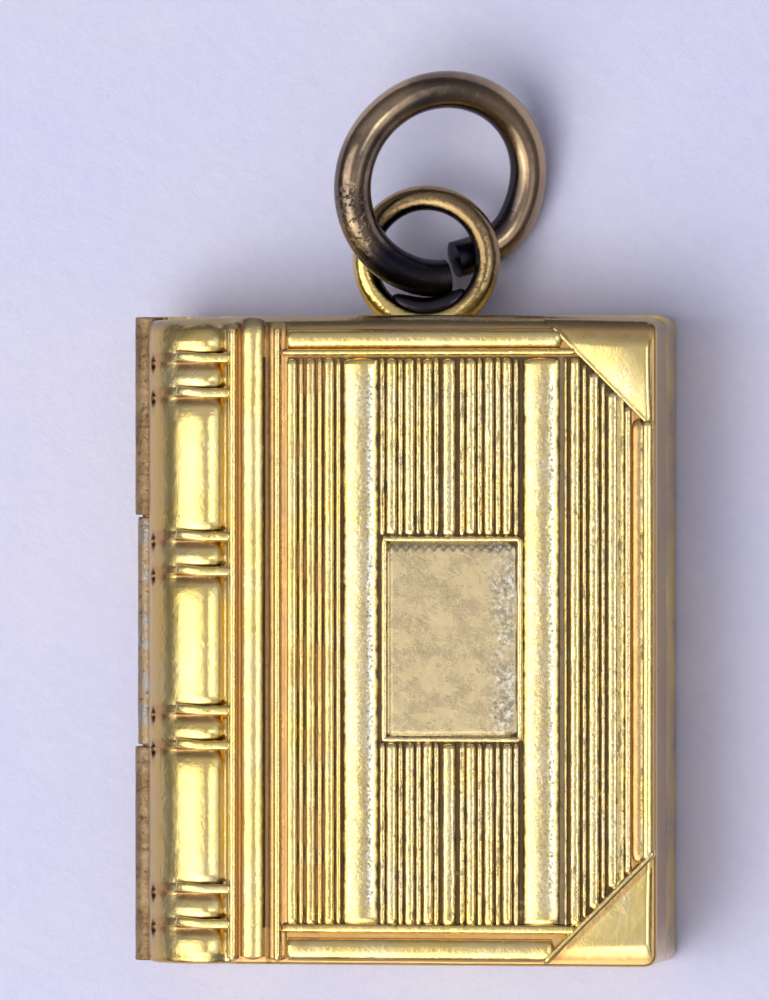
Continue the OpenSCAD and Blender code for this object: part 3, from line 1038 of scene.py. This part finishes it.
class LOCKET_OT_front_shell(bpy.types.Operator):
    """Makes the front half's sheet metal, with the rounded spine and its crowned panels"""
    bl_idname = "locket.front_shell"
    bl_label = "Front shell"

    def execute(self, context):
        sizes = case()
        rim_z = sizes.thickness / 2 + sizes.rim_gap / 2
        crest_h = spine_crest_z() - rim_z
        centre_h = crest_h - sizes.spine_r
        middle = spine_middle_x()
        bands = sorted(spine_band_ys())
        panel_edges = [-sizes.head_y] + bands + [sizes.head_y]
        shoulder_r = 0.70
        valley_r = 0.10
        tail = []
        for degrees in (4, 8, 12, 16, 20, 25, 30, 36, 42):
            turn = math.radians(degrees)
            x = middle + shoulder_r * math.sin(turn)
            tail.append((x, crest_h - shoulder_r * (1.0 - math.cos(turn)), math.sin(turn)))
        for degrees in (30, 18, 5):
            x, h, nx = tail[-1]
            before = math.asin(nx)
            turn = math.radians(degrees)
            x += valley_r * (math.sin(before) - math.sin(turn))
            tail.append((x, h - valley_r * (math.cos(turn) - math.cos(before)), math.sin(turn)))
        face_h = floor_z() - rim_z
        tail += [(middle + 0.65, tail[-1][1], 0.0), (middle + 0.75, face_h, 0.0)]

        def sink(x, y):
            hollow = 0.0
            if x < middle + 0.6:
                below = min([place - y for place in panel_edges if place >= y] or [1.0])
                over = min([y - place for place in panel_edges if place < y] or [1.0])
                near = min(abs(y - place + 0.02) for place in bands)
                hollow = sizes.pillow * (1.0 - ease(below, 0.05, 0.62))
                hollow += 0.055 * (1.0 - ease(over, 0.06, 0.32))
                hollow *= ease(x, middle - 1.25, middle - 0.55) * ease(near, 0.06, 0.13)
            if x < middle - 1.1:
                for place in bands:
                    away = math.hypot((x - dimple_x()) * 2.2, y - place + 0.17)
                    hollow += 0.15 * (1.0 - ease(away, 0.03, 0.18))
            ribbed = ease(x, -2.87, -2.80) * ease(-x, -5.94, -5.86) * ease(-abs(y), -7.06, -6.98)
            hollow -= relief().field * ribbed
            up = 1.0 - max((middle - x) / sizes.spine_r, 0.0) ** 2
            slope = head_fall(y) * (0.15 + 0.85 * max(up, 0.0)) + 0.03 * ease(-y, 7.7, 8.0)
            return hollow + slope + 0.008 * ripple(x * 0.8, y * 0.5, 3.0) + 0.008

        shell = make_half(
            "front_shell", stamped_gold, 1, rim_z, face_h, centre_h, tail,
            ends=middle_barrel_ends(hinge().end_gap), cut_between=True, sink=sink, bow=head_bow,
            bands=bands, head_start=math.asin(1.0 - sizes.fold_r / sizes.head_r),
        )

        # Painted shade in the creases over the bands and in the dimples at their ends, with painted
        # orange bounce light round both
        marks = {"painted_shade": [], "painted_bounce": []}
        for vertex in shell.data.vertices:
            x, y, z = vertex.co / MM
            shade_paint = 0.0
            rust_and_painted_bounce = 0.0
            outside = math.hypot(min(x - middle, 0.0), z - rim_z - centre_h) > sizes.spine_r - 0.22
            if x < middle + 0.55 and z > rim_z and outside:
                on_top = ease(x, middle - 0.78, middle - 0.68)
                beside = ease(x, dimple_x() - 0.12, dimple_x() - 0.02)
                beside *= ease(-x, 0.75 - middle, 0.95 - middle)
                for place in bands:
                    up = y - place + BAND_DROP * ease(x, middle - 0.9, middle)
                    hole = math.hypot((x - dimple_x()) * 2.4, (up + 0.17) * 0.8)
                    crease = on_top * ease(up, 0.05, 0.09) * (1.0 - ease(up, 0.16, 0.20))
                    fillet = on_top * ease(-up, 0.05, 0.09) * (1.0 - ease(-up, 0.24, 0.36))
                    trail = beside * (1.0 - ease(abs(up + 0.08), 0.13, 0.22))
                    glow = 1.0 - ease(hole, 0.16, 0.34)
                    shade_paint = max(shade_paint, 1.0 - ease(hole, 0.12, 0.22), crease, 0.35 * fillet)
                    rust_and_painted_bounce = max(rust_and_painted_bounce, 0.85 * trail, 0.9 * fillet, 0.8 * glow)
            marks["painted_shade"].append(shade_paint)
            marks["painted_bounce"].append(rust_and_painted_bounce)
        for name, values in marks.items():
            shell.data.attributes.new(name, "FLOAT", "POINT").data.foreach_set("value", values)
        declare(shell, "front", "front_gold", "front_cover")
        return {"FINISHED"}


class LOCKET_OT_back_shell(bpy.types.Operator):
    """Makes the back half's sheet metal, plain with a rounded spine edge"""
    bl_idname = "locket.back_shell"
    bl_label = "Back shell"

    def execute(self, context):
        sizes = case()
        rim_z = sizes.thickness / 2 - sizes.rim_gap / 2
        shell = make_half(
            "back_shell", worn_gold, -1, rim_z, rim_z, rim_z - sizes.spine_r, [],
            ends=middle_barrel_ends(), cut_between=False, bow=lambda x, y: y, bands=[],
            sink=lambda x, y: 0.004 + 0.004 * ripple(x * 0.6, y * 0.6, 9.0),
        )
        declare(shell, "back", "back_gold", "back_cover")
        return {"FINISHED"}


# The stamped relief

def bar_along(x, y0, y1, half_width, crest, end, sink, ground=0.0):
    """A rib along the book, sunk a little so that its sides leave the floor at a slant"""
    level = floor_z() + ground - sink * crest
    steps = max(2, int(abs(y1 - y0) / 0.1))
    points = [(x, y, level - head_fall(y)) for y in spread(y0, y1, steps)]
    return Path(points, half_width, (1.0 + sink) * crest, end)


def bar_across(y, half_width, crest, end, sink, x0):
    """A trim or bead across the book, from x0 to the corner guard"""
    level = floor_z() - sink * crest
    points = [(x, y, level) for x in spread(x0, guard_line(abs(y)) + 0.05, 14)]
    return Path(points, half_width, (1.0 + sink) * crest, end)


class LOCKET_OT_ribs(bpy.types.Operator):
    """Lays the ribs, ridges, bands, beads and trims of the front cover"""
    bl_idname = "locket.ribs"
    bl_label = "Ribs and bands"

    def execute(self, context):
        sizes = relief()
        top = sizes.depth * 0.8
        high = top - sizes.field
        luck = random.Random(context.scene.locket_making.seed)
        paths = []

        def rib(x, y0, y1, half_width, crest):
            """A rib of the ribbed field, a little uneven"""
            y0 += luck.uniform(-0.02, 0.02)
            y1 += luck.uniform(-0.02, 0.02)
            half_width *= luck.uniform(0.95, 1.05)
            crest *= luck.uniform(0.92, 1.0)
            paths.append(bar_along(x, y0, y1, half_width, crest, end=0.08, sink=0.45, ground=sizes.field))

        for i in range(3):
            x = LEFT_RIB_X + i * sizes.pitch
            rib(x, RIBS_FOOT, RIBS_HEAD, sizes.rib, high)
            rib(x + sizes.pitch / 2, RIBS_FOOT, RIBS_HEAD, sizes.thin_rib * 0.9, high * 0.75)
        clear = sizes.label_h / 2 + sizes.bead * 1.5
        pitch = sizes.pitch * 0.97
        for y0, y1 in ((LABEL_Y + clear, RIBS_HEAD), (RIBS_FOOT, LABEL_Y - clear)):
            rib(MIDDLE_RIB_X, y0, y1, sizes.broad_rib, high)
            for side, first in ((-1, 0.525), (1, 0.545)):
                rib(MIDDLE_RIB_X + side * (first - pitch * 0.48), y0, y1, sizes.thin_rib, high * 0.8)
                for i in range(3):
                    x = MIDDLE_RIB_X + side * (first + i * pitch)
                    rib(x, y0, y1, sizes.rib, high)
                    rib(x + side * pitch / 2, y0, y1, sizes.thin_rib, high * 0.8)
        for i in range(3):
            thin = 0.8 if i else 0.5
            for x, half_width, crest in (
                (RIGHT_RIB_X + i * sizes.pitch, sizes.rib * 1.04, high),
                (RIGHT_RIB_X + (i - 0.5) * sizes.pitch, sizes.thin_rib * thin, high * thin),
            ):
                limit = guard_line(x) - 0.02
                rib(x, max(-limit, RIBS_FOOT), min(limit, RIBS_HEAD), half_width, crest)
        limit = guard_line(EDGE_BEAD_X)
        rib(EDGE_BEAD_X - 0.28, -limit - 0.3, limit + 0.3, 0.19, high * 0.5)
        rib(EDGE_BEAD_X, -limit, limit, 0.085, high)
        ribs = lay_metal("cover_ribs", paths, stamped_gold, step=0.10, squareness=2.9, wobble=0.012,
                         wobble_size=0.5, dents=0.014, dent_size=0.22, sides=26)
        declare(ribs, "front", "front_gold")

        paths = []
        for x, foot_x, foot_w in ((LEFT_RIDGE_X, -4.03, 0.17), (RIGHT_RIDGE_X, -2.91, 0.25)):
            paths.append(bar_along(x, -7.95, 7.72, sizes.ridge, sizes.depth * 0.9, end=0.06, sink=0.2))
            paths.append(bar_along(foot_x, -7.93, 7.80, foot_w, sizes.depth * 0.35, end=0.06, sink=1.5))
        for y, half_width in ((HEAD_BEAD_Y, 0.095), (FOOT_BEAD_Y, 0.14)):
            paths.append(bar_across(y, half_width, top, end=0.08, sink=0.4, x0=-2.85))
        half_w = sizes.label_w / 2 + sizes.bead
        half_h = sizes.label_h / 2 + sizes.bead
        level = floor_z() + sizes.field - 0.25 * high
        corners = [(LABEL_X + a * half_w, LABEL_Y + b * half_h, level)
                   for a, b in ((-1, -1), (1, -1), (1, 1), (-1, 1))]
        paths.append(Path(corners, sizes.bead, 1.25 * high, end=0.0, closed=True))
        beads = lay_metal("ridges_and_beads", paths, stamped_gold, step=0.09, squareness=2.5,
                          wobble=0.008, wobble_size=0.7, dents=0.010, dent_size=0.25, sides=28)
        declare(beads, "front", "front_gold")

        paths = []
        ends = (RIBS_FOOT - 0.02, RIBS_HEAD + 0.02)
        for x, share in ((LEFT_BAND_X, 1.0), (RIGHT_BAND_X, 1.03)):
            half_width = sizes.plain_band / 2 * share
            paths.append(bar_along(x, *ends, half_width, high, end=0.12, sink=0.8, ground=sizes.field))
        half_width = sizes.joint_band / 2
        paths.append(bar_along(JOINT_BAND_X, -7.92, 7.86, half_width, top, end=0.06, sink=0.8))
        limit = guard_line(6.2) + 0.1
        paths.append(bar_along(EDGE_TRIM_X, -limit, limit, 0.17, top * 0.95, end=0.2, sink=0.6))
        paths.append(bar_along(EDGE_STEP_X, -limit, limit, 0.20, top * 0.55, end=0.3, sink=0.6))
        for y, half_width in ((HEAD_TRIM_Y, 0.25), (FOOT_TRIM_Y, 0.30)):
            paths.append(bar_across(y, half_width, top, end=0.14, sink=0.6, x0=-2.76))
        bands = lay_metal("plain_bands", paths, stamped_gold, step=0.12, squareness=2.1, wobble=0.012,
                          wobble_size=1.1, dents=0.008, dent_size=0.5, sides=40)
        declare(bands, "front", "front_gold")
        return {"FINISHED"}


class LOCKET_OT_spine_bands(bpy.types.Operator):
    """Lays the eight raised bands across the spine, from the ridge round the curve"""
    bl_idname = "locket.spine_bands"
    bl_label = "Spine bands"

    def execute(self, context):
        sizes = case()
        band_r = relief().spine_band
        middle = spine_middle_x()
        centre_z = spine_crest_z() - sizes.spine_r
        paths = []
        for place in spine_band_ys():
            y = place - BAND_DROP
            points = [(x, y, sizes.thickness - band_r - 0.014) for x in spread(-4.04, middle + 0.05, 6)]
            for step in range(13):
                turn = math.radians(90 - (90 - 64) * step / 12)
                radius = sizes.spine_r - 0.029 - 0.03 * ease(step, 6, 12)
                across = middle - radius * math.cos(turn)
                points.append((across, y + 2 * BAND_DROP * step / 12, centre_z + radius * math.sin(turn)))
            paths.append(Path(points, half_width=0.12, crest=band_r, end=0.08))
        bands = lay_metal("spine_bands", paths, stamped_gold, step=0.05, squareness=3.0, wobble=0.008,
                          wobble_size=0.5, dents=0.010, dent_size=0.3)
        declare(bands, "front", "front_gold")
        return {"FINISHED"}


def close_below(points, faces, rim, x, y, bottom_z):
    """Closes a plate with straight sides down from its rim and a flat bottom with its middle at x, y"""
    foot = [add(points, *points[number][:2], bottom_z) for number in rim]
    bridge(faces, rim, foot, ring=True)
    middle = add(points, x, y, bottom_z)
    for one, after in zip(foot, foot[1:] + foot[:1]):
        faces.append((after, one, middle))


class LOCKET_OT_label(bpy.types.Operator):
    """Makes the blank label plate, a little crowned, with small bites along its head"""
    bl_idname = "locket.label"
    bl_label = "Label plate"

    def execute(self, context):
        sizes = relief()
        x0, x1 = LABEL_X - sizes.label_w / 2, LABEL_X + sizes.label_w / 2
        y0, y1 = LABEL_Y - sizes.label_h / 2, LABEL_Y + sizes.label_h / 2

        def height(x, y):
            fall = 0.05 * (1.0 - ease(x - x0, 0.0, 0.12)) + 0.07 * (1.0 - ease(x1 - x, 0.0, 0.38)) ** 2
            fall += 0.05 * (1.0 - ease(y - y0, 0.0, 0.1)) + 0.03 * (1.0 - ease(y1 - y, 0.0, 0.1))
            bite = 0.14 * abs(((x - x0) / (sizes.pitch / 2)) % 1.0 - 0.5) * 2.0
            fall += 0.03 * (1.0 - ease(y1 - y, 0.04 + bite, 0.10 + bite)) + 0.03 * (x - x0) / (x1 - x0)
            wave = 0.006 * ripple(x * 1.1, y * 0.9, 5.0) + 0.0025 * ripple(x * 4.0, y * 4.0, 2.0)
            return floor_z() + 0.12 - fall + wave

        points = []
        faces = []
        grid = []
        for x in spread(x0, x1, 110):
            grid.append([add(points, x, y, height(x, y)) for y in spread(y0, y1, 130)])
        bridge_all(faces, grid)
        rim = [line[0] for line in grid] + grid[-1][1:]
        rim += [line[-1] for line in grid[-2::-1]] + grid[0][-2:0:-1]
        close_below(points, faces, rim, LABEL_X, LABEL_Y, floor_z() - 0.1)
        declare(make_piece("label_plate", points, faces, label_gold, 60.0), "front", "front_gold")
        return {"FINISHED"}


class LOCKET_OT_guards(bpy.types.Operator):
    """Makes the two crowned corner guards and the bead along the slanting side of each"""
    bl_idname = "locket.guards"
    bl_label = "Corner guards"

    def execute(self, context):
        sizes = case()
        leg = relief().guard_leg
        inset = 0.1
        reach = leg - inset
        base_x = sizes.edge_x - leg
        base_y = sizes.head_y - leg
        count = 56

        def place(i, j, side, slant, fall_width):
            """A point of a guard: i counts across, j along; its outer end falls over fall_width"""
            x = base_x + inset + (reach - inset) * i / count
            y = base_y + inset + (reach - inset) * j / count
            limit = corner_limit(y, sizes.edge_x - inset, sizes.head_y - inset, sizes.corner_r - 0.05)
            x = min(x, limit)
            from_slant = (x - base_x + y - base_y - leg) / math.sqrt(2.0)
            head_limit = sizes.head_y - fall_width
            over_head = max(y - head_limit, 0.0)
            crown = 0.05 + (1.0 - (1.0 - min(from_slant / 1.05, 1.0)) ** 1.6) * 0.085 * slant
            crown *= ease(head_limit - y, -0.02, 0.45) * ease(limit - x, -0.05, 0.12)
            crown -= over_head ** 2 + 0.30 * over_head
            wave = 0.005 * ripple(x * 1.3, y * 1.3, 4.0 + side)
            return x, head_bow(x, side * y), floor_z() + 0.012 + crown + wave

        points = []
        faces = []
        for side, slant, fall_width in ((1, 1.0, 0.36), (-1, 0.6, 0.14)):
            index = {}
            for i in range(count + 1):
                for j in range(count - i, count + 1):
                    index[i, j] = add(points, *place(i, j, side, slant, fall_width))
            for i in range(count):
                for j in range(count - i - 1, count):
                    corners = [(i, j), (i + 1, j), (i + 1, j + 1), (i, j + 1)]
                    faces.append(tuple(index[corner] for corner in corners if corner in index))
            rim = [index[i, count - i] for i in range(count, -1, -1)]
            rim += [index[i, count] for i in range(1, count + 1)]
            rim += [index[count, j] for j in range(count - 1, 0, -1)]
            middle = 0.7 * reach
            close_below(points, faces, rim, base_x + middle, side * (base_y + middle), floor_z() - 0.12)
        guards = make_piece("corner_guards", points, faces, stamped_gold, 60.0)
        declare(guards, "front", "front_gold")

        paths = []
        for side, start, half_width, height in ((-1, 0.035, 0.10, 0.9), (1, 0.10, 0.075, 0.62)):
            line = []
            for share in spread(start, 1.01, 25):
                x = min(base_x + leg * share + 0.03, sizes.edge_x - 0.09)
                y = sizes.head_y - leg * share
                line.append((x, side * (y + 0.03), floor_z() - 0.02 - head_fall(side * y)))
            paths.append(Path(line, half_width, relief().depth * height, end=0.15))
        beads = lay_metal("guard_beads", paths, stamped_gold, step=0.07, squareness=2.2, wobble=0.012,
                          wobble_size=0.4, dents=0.014, dent_size=0.2)
        declare(beads, "front", "front_gold")
        return {"FINISHED"}


# The hinge and the inside

def add_barrel(points, faces, y0, y1, outer_r, round_r, wear, shift):
    """Adds a barrel along the hinge line, with rounded rims, its bore and nicks worn into it

    shift: moves the nicks, so that no two barrels have the same ones
    """
    inner_r = hinge().bore_r
    rim = [(round_r * (1 - math.cos(turn)), outer_r - round_r * (1 - math.sin(turn)))
           for turn in spread(0.3, math.pi / 2, 4)]
    profile = [(y0, inner_r), (y0, outer_r - round_r)]
    profile += [(y0 + step, radius) for step, radius in rim]
    profile += [(y, outer_r) for y in spread(y0 + round_r * 1.5, y1 - round_r * 1.5, 60)]
    profile += [(y1 - step, radius) for step, radius in reversed(rim)]
    profile += [(y1, outer_r - round_r), (y1, inner_r)]
    rows = []
    for y, radius in profile:
        row = []
        end = 1.0 - ease(min(y - y0, y1 - y), 0.0, 0.6)
        for turn in spread(0.0, 2 * math.pi, 41)[:-1]:
            out, up = math.cos(turn), math.sin(turn)
            worn = 0.0
            if radius > inner_r + 0.01:
                worn = max(0.0, ripple(out * 0.8, y * 1.6, up * 0.8 + shift) + 0.25)
            r = radius - wear * (0.25 + 0.75 * end) * worn
            row.append(add(points, hinge_x + out * r, y, hinge_z + up * r))
        rows.append(row)
    bridge_all(faces, rows + rows[:1], ring=True)


class LOCKET_OT_hinge(bpy.types.Operator):
    """Makes the barrels of both halves and gives the pin its metal"""
    bl_idname = "locket.hinge"
    bl_label = "Hinge"

    def execute(self, context):
        barrel_r = hinge().barrel_r
        head = case().head_y - 0.02
        low_y, high_y = middle_barrel_ends(hinge().end_gap)
        points = []
        faces = []
        add_barrel(points, faces, high_y, head, barrel_r, round_r=0.04, wear=0.02, shift=1.0)
        add_barrel(points, faces, -head, low_y, barrel_r, round_r=0.04, wear=0.02, shift=5.0)
        declare(make_piece("front_barrels", points, faces, barrel_brown), "front", "front_gold")
        points = []
        faces = []
        worn_r = barrel_r - 0.06
        add_barrel(points, faces, *middle_barrel_ends(), worn_r, round_r=0.03, wear=0.05, shift=9.0)
        declare(make_piece("middle_barrel", points, faces, bare_metal), "back", "pin_metal")
        for slot in frame["nodes"]["hinge_pin"].material_slots:
            slot.material = coat_of(bare_metal)
        return {"FINISHED"}


class LOCKET_OT_lip(bpy.types.Operator):
    """Makes the closing lip inside the back half's rim"""
    bl_idname = "locket.lip"
    bl_label = "Closing lip"

    def execute(self, context):
        sizes = case()
        rim_z = sizes.thickness / 2 - sizes.rim_gap / 2
        clearance = 0.08
        right = sizes.edge_x - sizes.wall - clearance
        end = sizes.head_y - sizes.wall - clearance
        turn_r = 0.25
        spine_end_x = -5.3
        line = [(x, end, 0.0, 1.0) for x in spread(spine_end_x, right - turn_r, 30)]
        for step in range(1, 8):
            turn = math.pi / 2 * (1 - step / 7)
            out, up = math.cos(turn), math.sin(turn)
            line.append((right - turn_r + turn_r * out, end - turn_r + turn_r * up, out, up))
        line += [(right, y, 1.0, 0.0) for y in spread(end - turn_r, 0.0, 20)[1:]]
        line += [(x, -y, nx, -ny) for x, y, nx, ny in reversed(line[:-1])]
        section = [(0.0, -0.7), (0.0, 0.44), (-0.03, 0.485), (-0.08, 0.5), (-0.12, 0.5), (-0.17, 0.485),
                   (-0.2, 0.44), (-0.2, -0.7)]
        points = []
        faces = []
        rows = []
        for x, y, nx, ny in line:
            row = []
            for across, up in section:
                out = across + (0.06 * ease(-up, 0.0, 0.25) if across > -0.1 else 0.0)
                row.append(add(points, x + nx * out, y + ny * out, rim_z + up))
            rows.append(row)
        bridge_all(faces, rows, ring=True)
        faces += [tuple(rows[0]), tuple(reversed(rows[-1]))]
        declare(make_piece("closing_lip", points, faces, worn_gold), "back", "back_gold")
        return {"FINISHED"}


# The rings

def round_points(middle, radius, turns):
    """Points on a flat circle, at turns in radians"""
    x, y, z = middle
    return [(x + radius * math.cos(turn), y + radius * math.sin(turn), z) for turn in turns]


class LOCKET_OT_rings(bpy.types.Operator):
    """Makes the soldered ring with its solder, a dark crescent of tarnish and painted shade in its foot,
    and the open jump ring
    """
    bl_idname = "locket.rings"
    bl_label = "Rings"

    def execute(self, context):
        sizes = rings()
        head = case().head_y
        middle = (sizes.small_x, sizes.small_y, sizes.small_z)
        wire = sizes.small_wire / 2
        points = round_points(middle, sizes.small_od / 2 - wire, spread(0.0, 2 * math.pi, 97)[:-1])
        path = Path(points, wire, wire, end=0.0, closed=True)
        small = lay_metal("soldered_ring", [path], ring_gold, step=0.08, squareness=2.0, wobble=0.03,
                          wobble_size=1.6, dents=0.010, dent_size=0.5, sides=40)
        inside_wall_y = head - 0.15
        for vertex in small.data.vertices:
            vertex.co.y = max(vertex.co.y, inside_wall_y * MM)
        declare(small, "back", "back_gold")

        half_length = 0.95
        half_height = 0.28
        bulge = 0.24
        steps = 16
        points = []
        faces = []
        rows = []
        for i in range(steps + 1):
            lift = math.pi / 2 * i / steps
            y = head - 0.1 + bulge * math.sin(lift)
            row = []
            for turn in spread(0.0, 2 * math.pi, 29)[:-1]:
                out, up = math.cos(turn), math.sin(turn)
                size = (1.0 + 0.10 * ripple(out * 2, up * 2, i * 0.2)) * math.cos(lift)
                x = sizes.small_x + half_length * out * size
                row.append(add(points, x, y, sizes.small_z + half_height * up * size))
            rows.append(row)
        bridge_all(faces, rows, ring=True)
        faces.append(tuple(rows[0]))
        declare(make_piece("ring_solder", points, faces, worn_gold), "back", "back_gold")

        # A dark crescent in the soldered ring's foot, standing in for tarnish and the shade there
        turns = [math.radians(degrees) for degrees in spread(-134.0, -38.0, 30)]
        points = round_points(middle, sizes.small_od / 2 - sizes.small_wire - 0.02, turns)
        path = Path(points, half_width=0.27, crest=0.22, end=0.8)
        residue_and_shade = lay_metal("ring_residue_and_shade", [path], antique_wire, step=0.05, squareness=2.0, wobble=0.02,
                            wobble_size=0.5)
        declare(residue_and_shade, "back", "back_gold")

        group = context.scene.locket_rings
        lean = Matrix.Rotation(group.roll, 3, "Y") @ Matrix.Rotation(group.pitch, 3, "X")
        radius = (sizes.jump_od - sizes.jump_wire) / 2
        start = math.radians(JUMP_CUT_DEGREES) + group.cut / 2
        points = []
        for share in spread(0.0, 1.0, 160):
            turn = start + (2 * math.pi - group.cut) * share
            aside = (share - 0.5) * 0.16 * ease(abs(share - 0.5), 0.3, 0.5)
            bent = 0.05 * ease(share, 0.9, 1.0) - 0.30 * ease(1.0 - share, 0.86, 1.0)
            reach = radius + 0.02 * math.sin(3 * turn) + bent
            place = Vector((reach * math.cos(turn), reach * math.sin(turn), aside))
            points.append(tuple(Vector(JUMP_MIDDLE) + lean @ place))
        wire = sizes.jump_wire / 2 - 0.01
        path = Path(points, wire, wire, end=0.05)
        jump = lay_metal("jump_ring_wire", [path], antique_wire, step=0.1, squareness=2.0, wobble=0.05,
                         wobble_size=2.0, dents=0.006, dent_size=0.45, sides=48)
        declare(jump, "back", "ring_metal", "jump_ring")
        return {"FINISHED"}


# Table, light and camera

WHITE = (1.0, 0.985, 0.95)

# The soft lights: lean and spans in degrees, brightness, colour, shows on metal, shows on paper
LIGHTS = {
    "left_softbox": ((-36, -24), (42, 58), 1.85, WHITE, True, True),
    "right_softbox": ((42, 0), (20, 50), 0.6, (0.90, 0.95, 1.0), True, False),
    "foot_softbox": ((-10, -40), (40, 34), 1.3, WHITE, True, False),
    "window": ((22, 0), (16, 16), 3.2, (0.88, 0.94, 1.0), True, False),
    "paper_light": ((-17, -16), (38, 36), 3.1, (1.0, 0.985, 0.99), False, True),
}


def aimed(target, way, distance):
    """Where something stands that looks back along way at a target"""
    side = Vector((0.0, 1.0, 0.0)).cross(way).normalized()
    turn = Matrix((side, way.cross(side), way)).transposed().to_4x4()
    return Matrix.Translation(Vector(target) + way * distance) @ turn


def softbox(name, lean, spans, brightness, hue, on_metal, on_paper):
    """A soft light; its lean and its spans are angles as seen from the locket, across and along"""
    distance = 0.4
    target = (0.0, 0.0, 0.002)
    way = Vector((math.tan(math.radians(lean[0])), math.tan(math.radians(lean[1])), 1.0)).normalized()
    lamp = bpy.data.lights.new(name, "AREA")
    lamp.shape = "RECTANGLE"
    lamp.size, lamp.size_y = (2 * distance * math.tan(math.radians(span / 2)) for span in spans)
    lamp.energy = brightness * math.pi * lamp.size * lamp.size_y
    lamp.color = hue
    holder = put_in_scene(name, lamp)
    holder.matrix_world = aimed(target, way, distance)
    holder.visible_glossy = on_metal
    holder.visible_diffuse = on_paper


class LOCKET_OT_stage(bpy.types.Operator):
    """Sets the paper, the soft lights, the room's light and the camera"""
    bl_idname = "locket.stage"
    bl_label = "Stage"

    def execute(self, context):
        scene = context.scene
        half = 0.3
        mesh = bpy.data.meshes.new("paper")
        corners = [(-half, -half, 0.0), (half, -half, 0.0), (half, half, 0.0), (-half, half, 0.0)]
        mesh.from_pydata(corners, [], [(0, 1, 2, 3)])
        mesh.materials.append(coat_of(pale_paper))
        put_in_scene("paper", mesh)
        for name, settings in LIGHTS.items():
            softbox(name, *settings)

        world = bpy.data.worlds.new("Room")
        scene.world = world
        world.use_nodes = True
        world.node_tree.nodes.clear()
        lay = Laying(world.node_tree)
        up = lay.parts(lay.put("ShaderNodeTexCoord", out="Generated"))[2]
        hue = lay.mix(lay.span(up, 0.25, 0.97), tint("room_low"), tint("room_high"))
        lay.node("ShaderNodeOutputWorld", {"Surface": lay.put("ShaderNodeBackground", {"Color": hue})})

        camera = bpy.data.cameras.new("camera")
        distance = 0.25
        seen_height = 0.02475
        camera.sensor_fit = "VERTICAL"
        camera.sensor_height = 24.0
        camera.lens = camera.sensor_height * distance / seen_height
        camera.clip_start = 0.01
        camera.clip_end = 10.0
        lean = math.radians(9.4)
        look_at = (-0.00053, 0.00344, 0.0019)
        way = Vector((math.sin(lean), 0.0, math.cos(lean)))
        holder = put_in_scene("camera", camera)
        holder.matrix_world = aimed(look_at, way, distance)
        scene.camera = holder
        scene.view_settings.view_transform = "Standard"
        return {"FINISHED"}


class LOCKET_PT_panel(bpy.types.Panel):
    """Lists the pieces of the locket and its sizes"""
    bl_idname = "LOCKET_PT_panel"
    bl_label = "Book locket"
    bl_space_type = "VIEW_3D"
    bl_region_type = "UI"
    bl_category = "Locket"

    def draw(self, context):
        for operator in OPERATORS:
            self.layout.operator(operator.bl_idname)
        for name in GROUPS:
            group = getattr(context.scene, name)
            box = self.layout.box()
            box.label(text=group.__doc__)
            for key in group.__annotations__:
                box.prop(group, key)


OPERATORS = [
    LOCKET_OT_front_shell,
    LOCKET_OT_ribs,
    LOCKET_OT_spine_bands,
    LOCKET_OT_label,
    LOCKET_OT_guards,
    LOCKET_OT_back_shell,
    LOCKET_OT_lip,
    LOCKET_OT_hinge,
    LOCKET_OT_rings,
    LOCKET_OT_stage,
]
CLASSES = list(GROUPS.values()) + OPERATORS + [LOCKET_PT_panel]


def register():
    for item in CLASSES:
        bpy.utils.register_class(item)
    for name, group in GROUPS.items():
        setattr(bpy.types.Scene, name, PointerProperty(type=group))


def unregister():
    for name in GROUPS:
        delattr(bpy.types.Scene, name)
    for item in reversed(CLASSES):
        bpy.utils.unregister_class(item)


def main():
    register()
    for operator in OPERATORS:
        group, name = operator.bl_idname.split(".")
        getattr(getattr(bpy.ops, group), name)()
    bpy.context.view_layer.update()


if __name__ == "__main__":
    main()
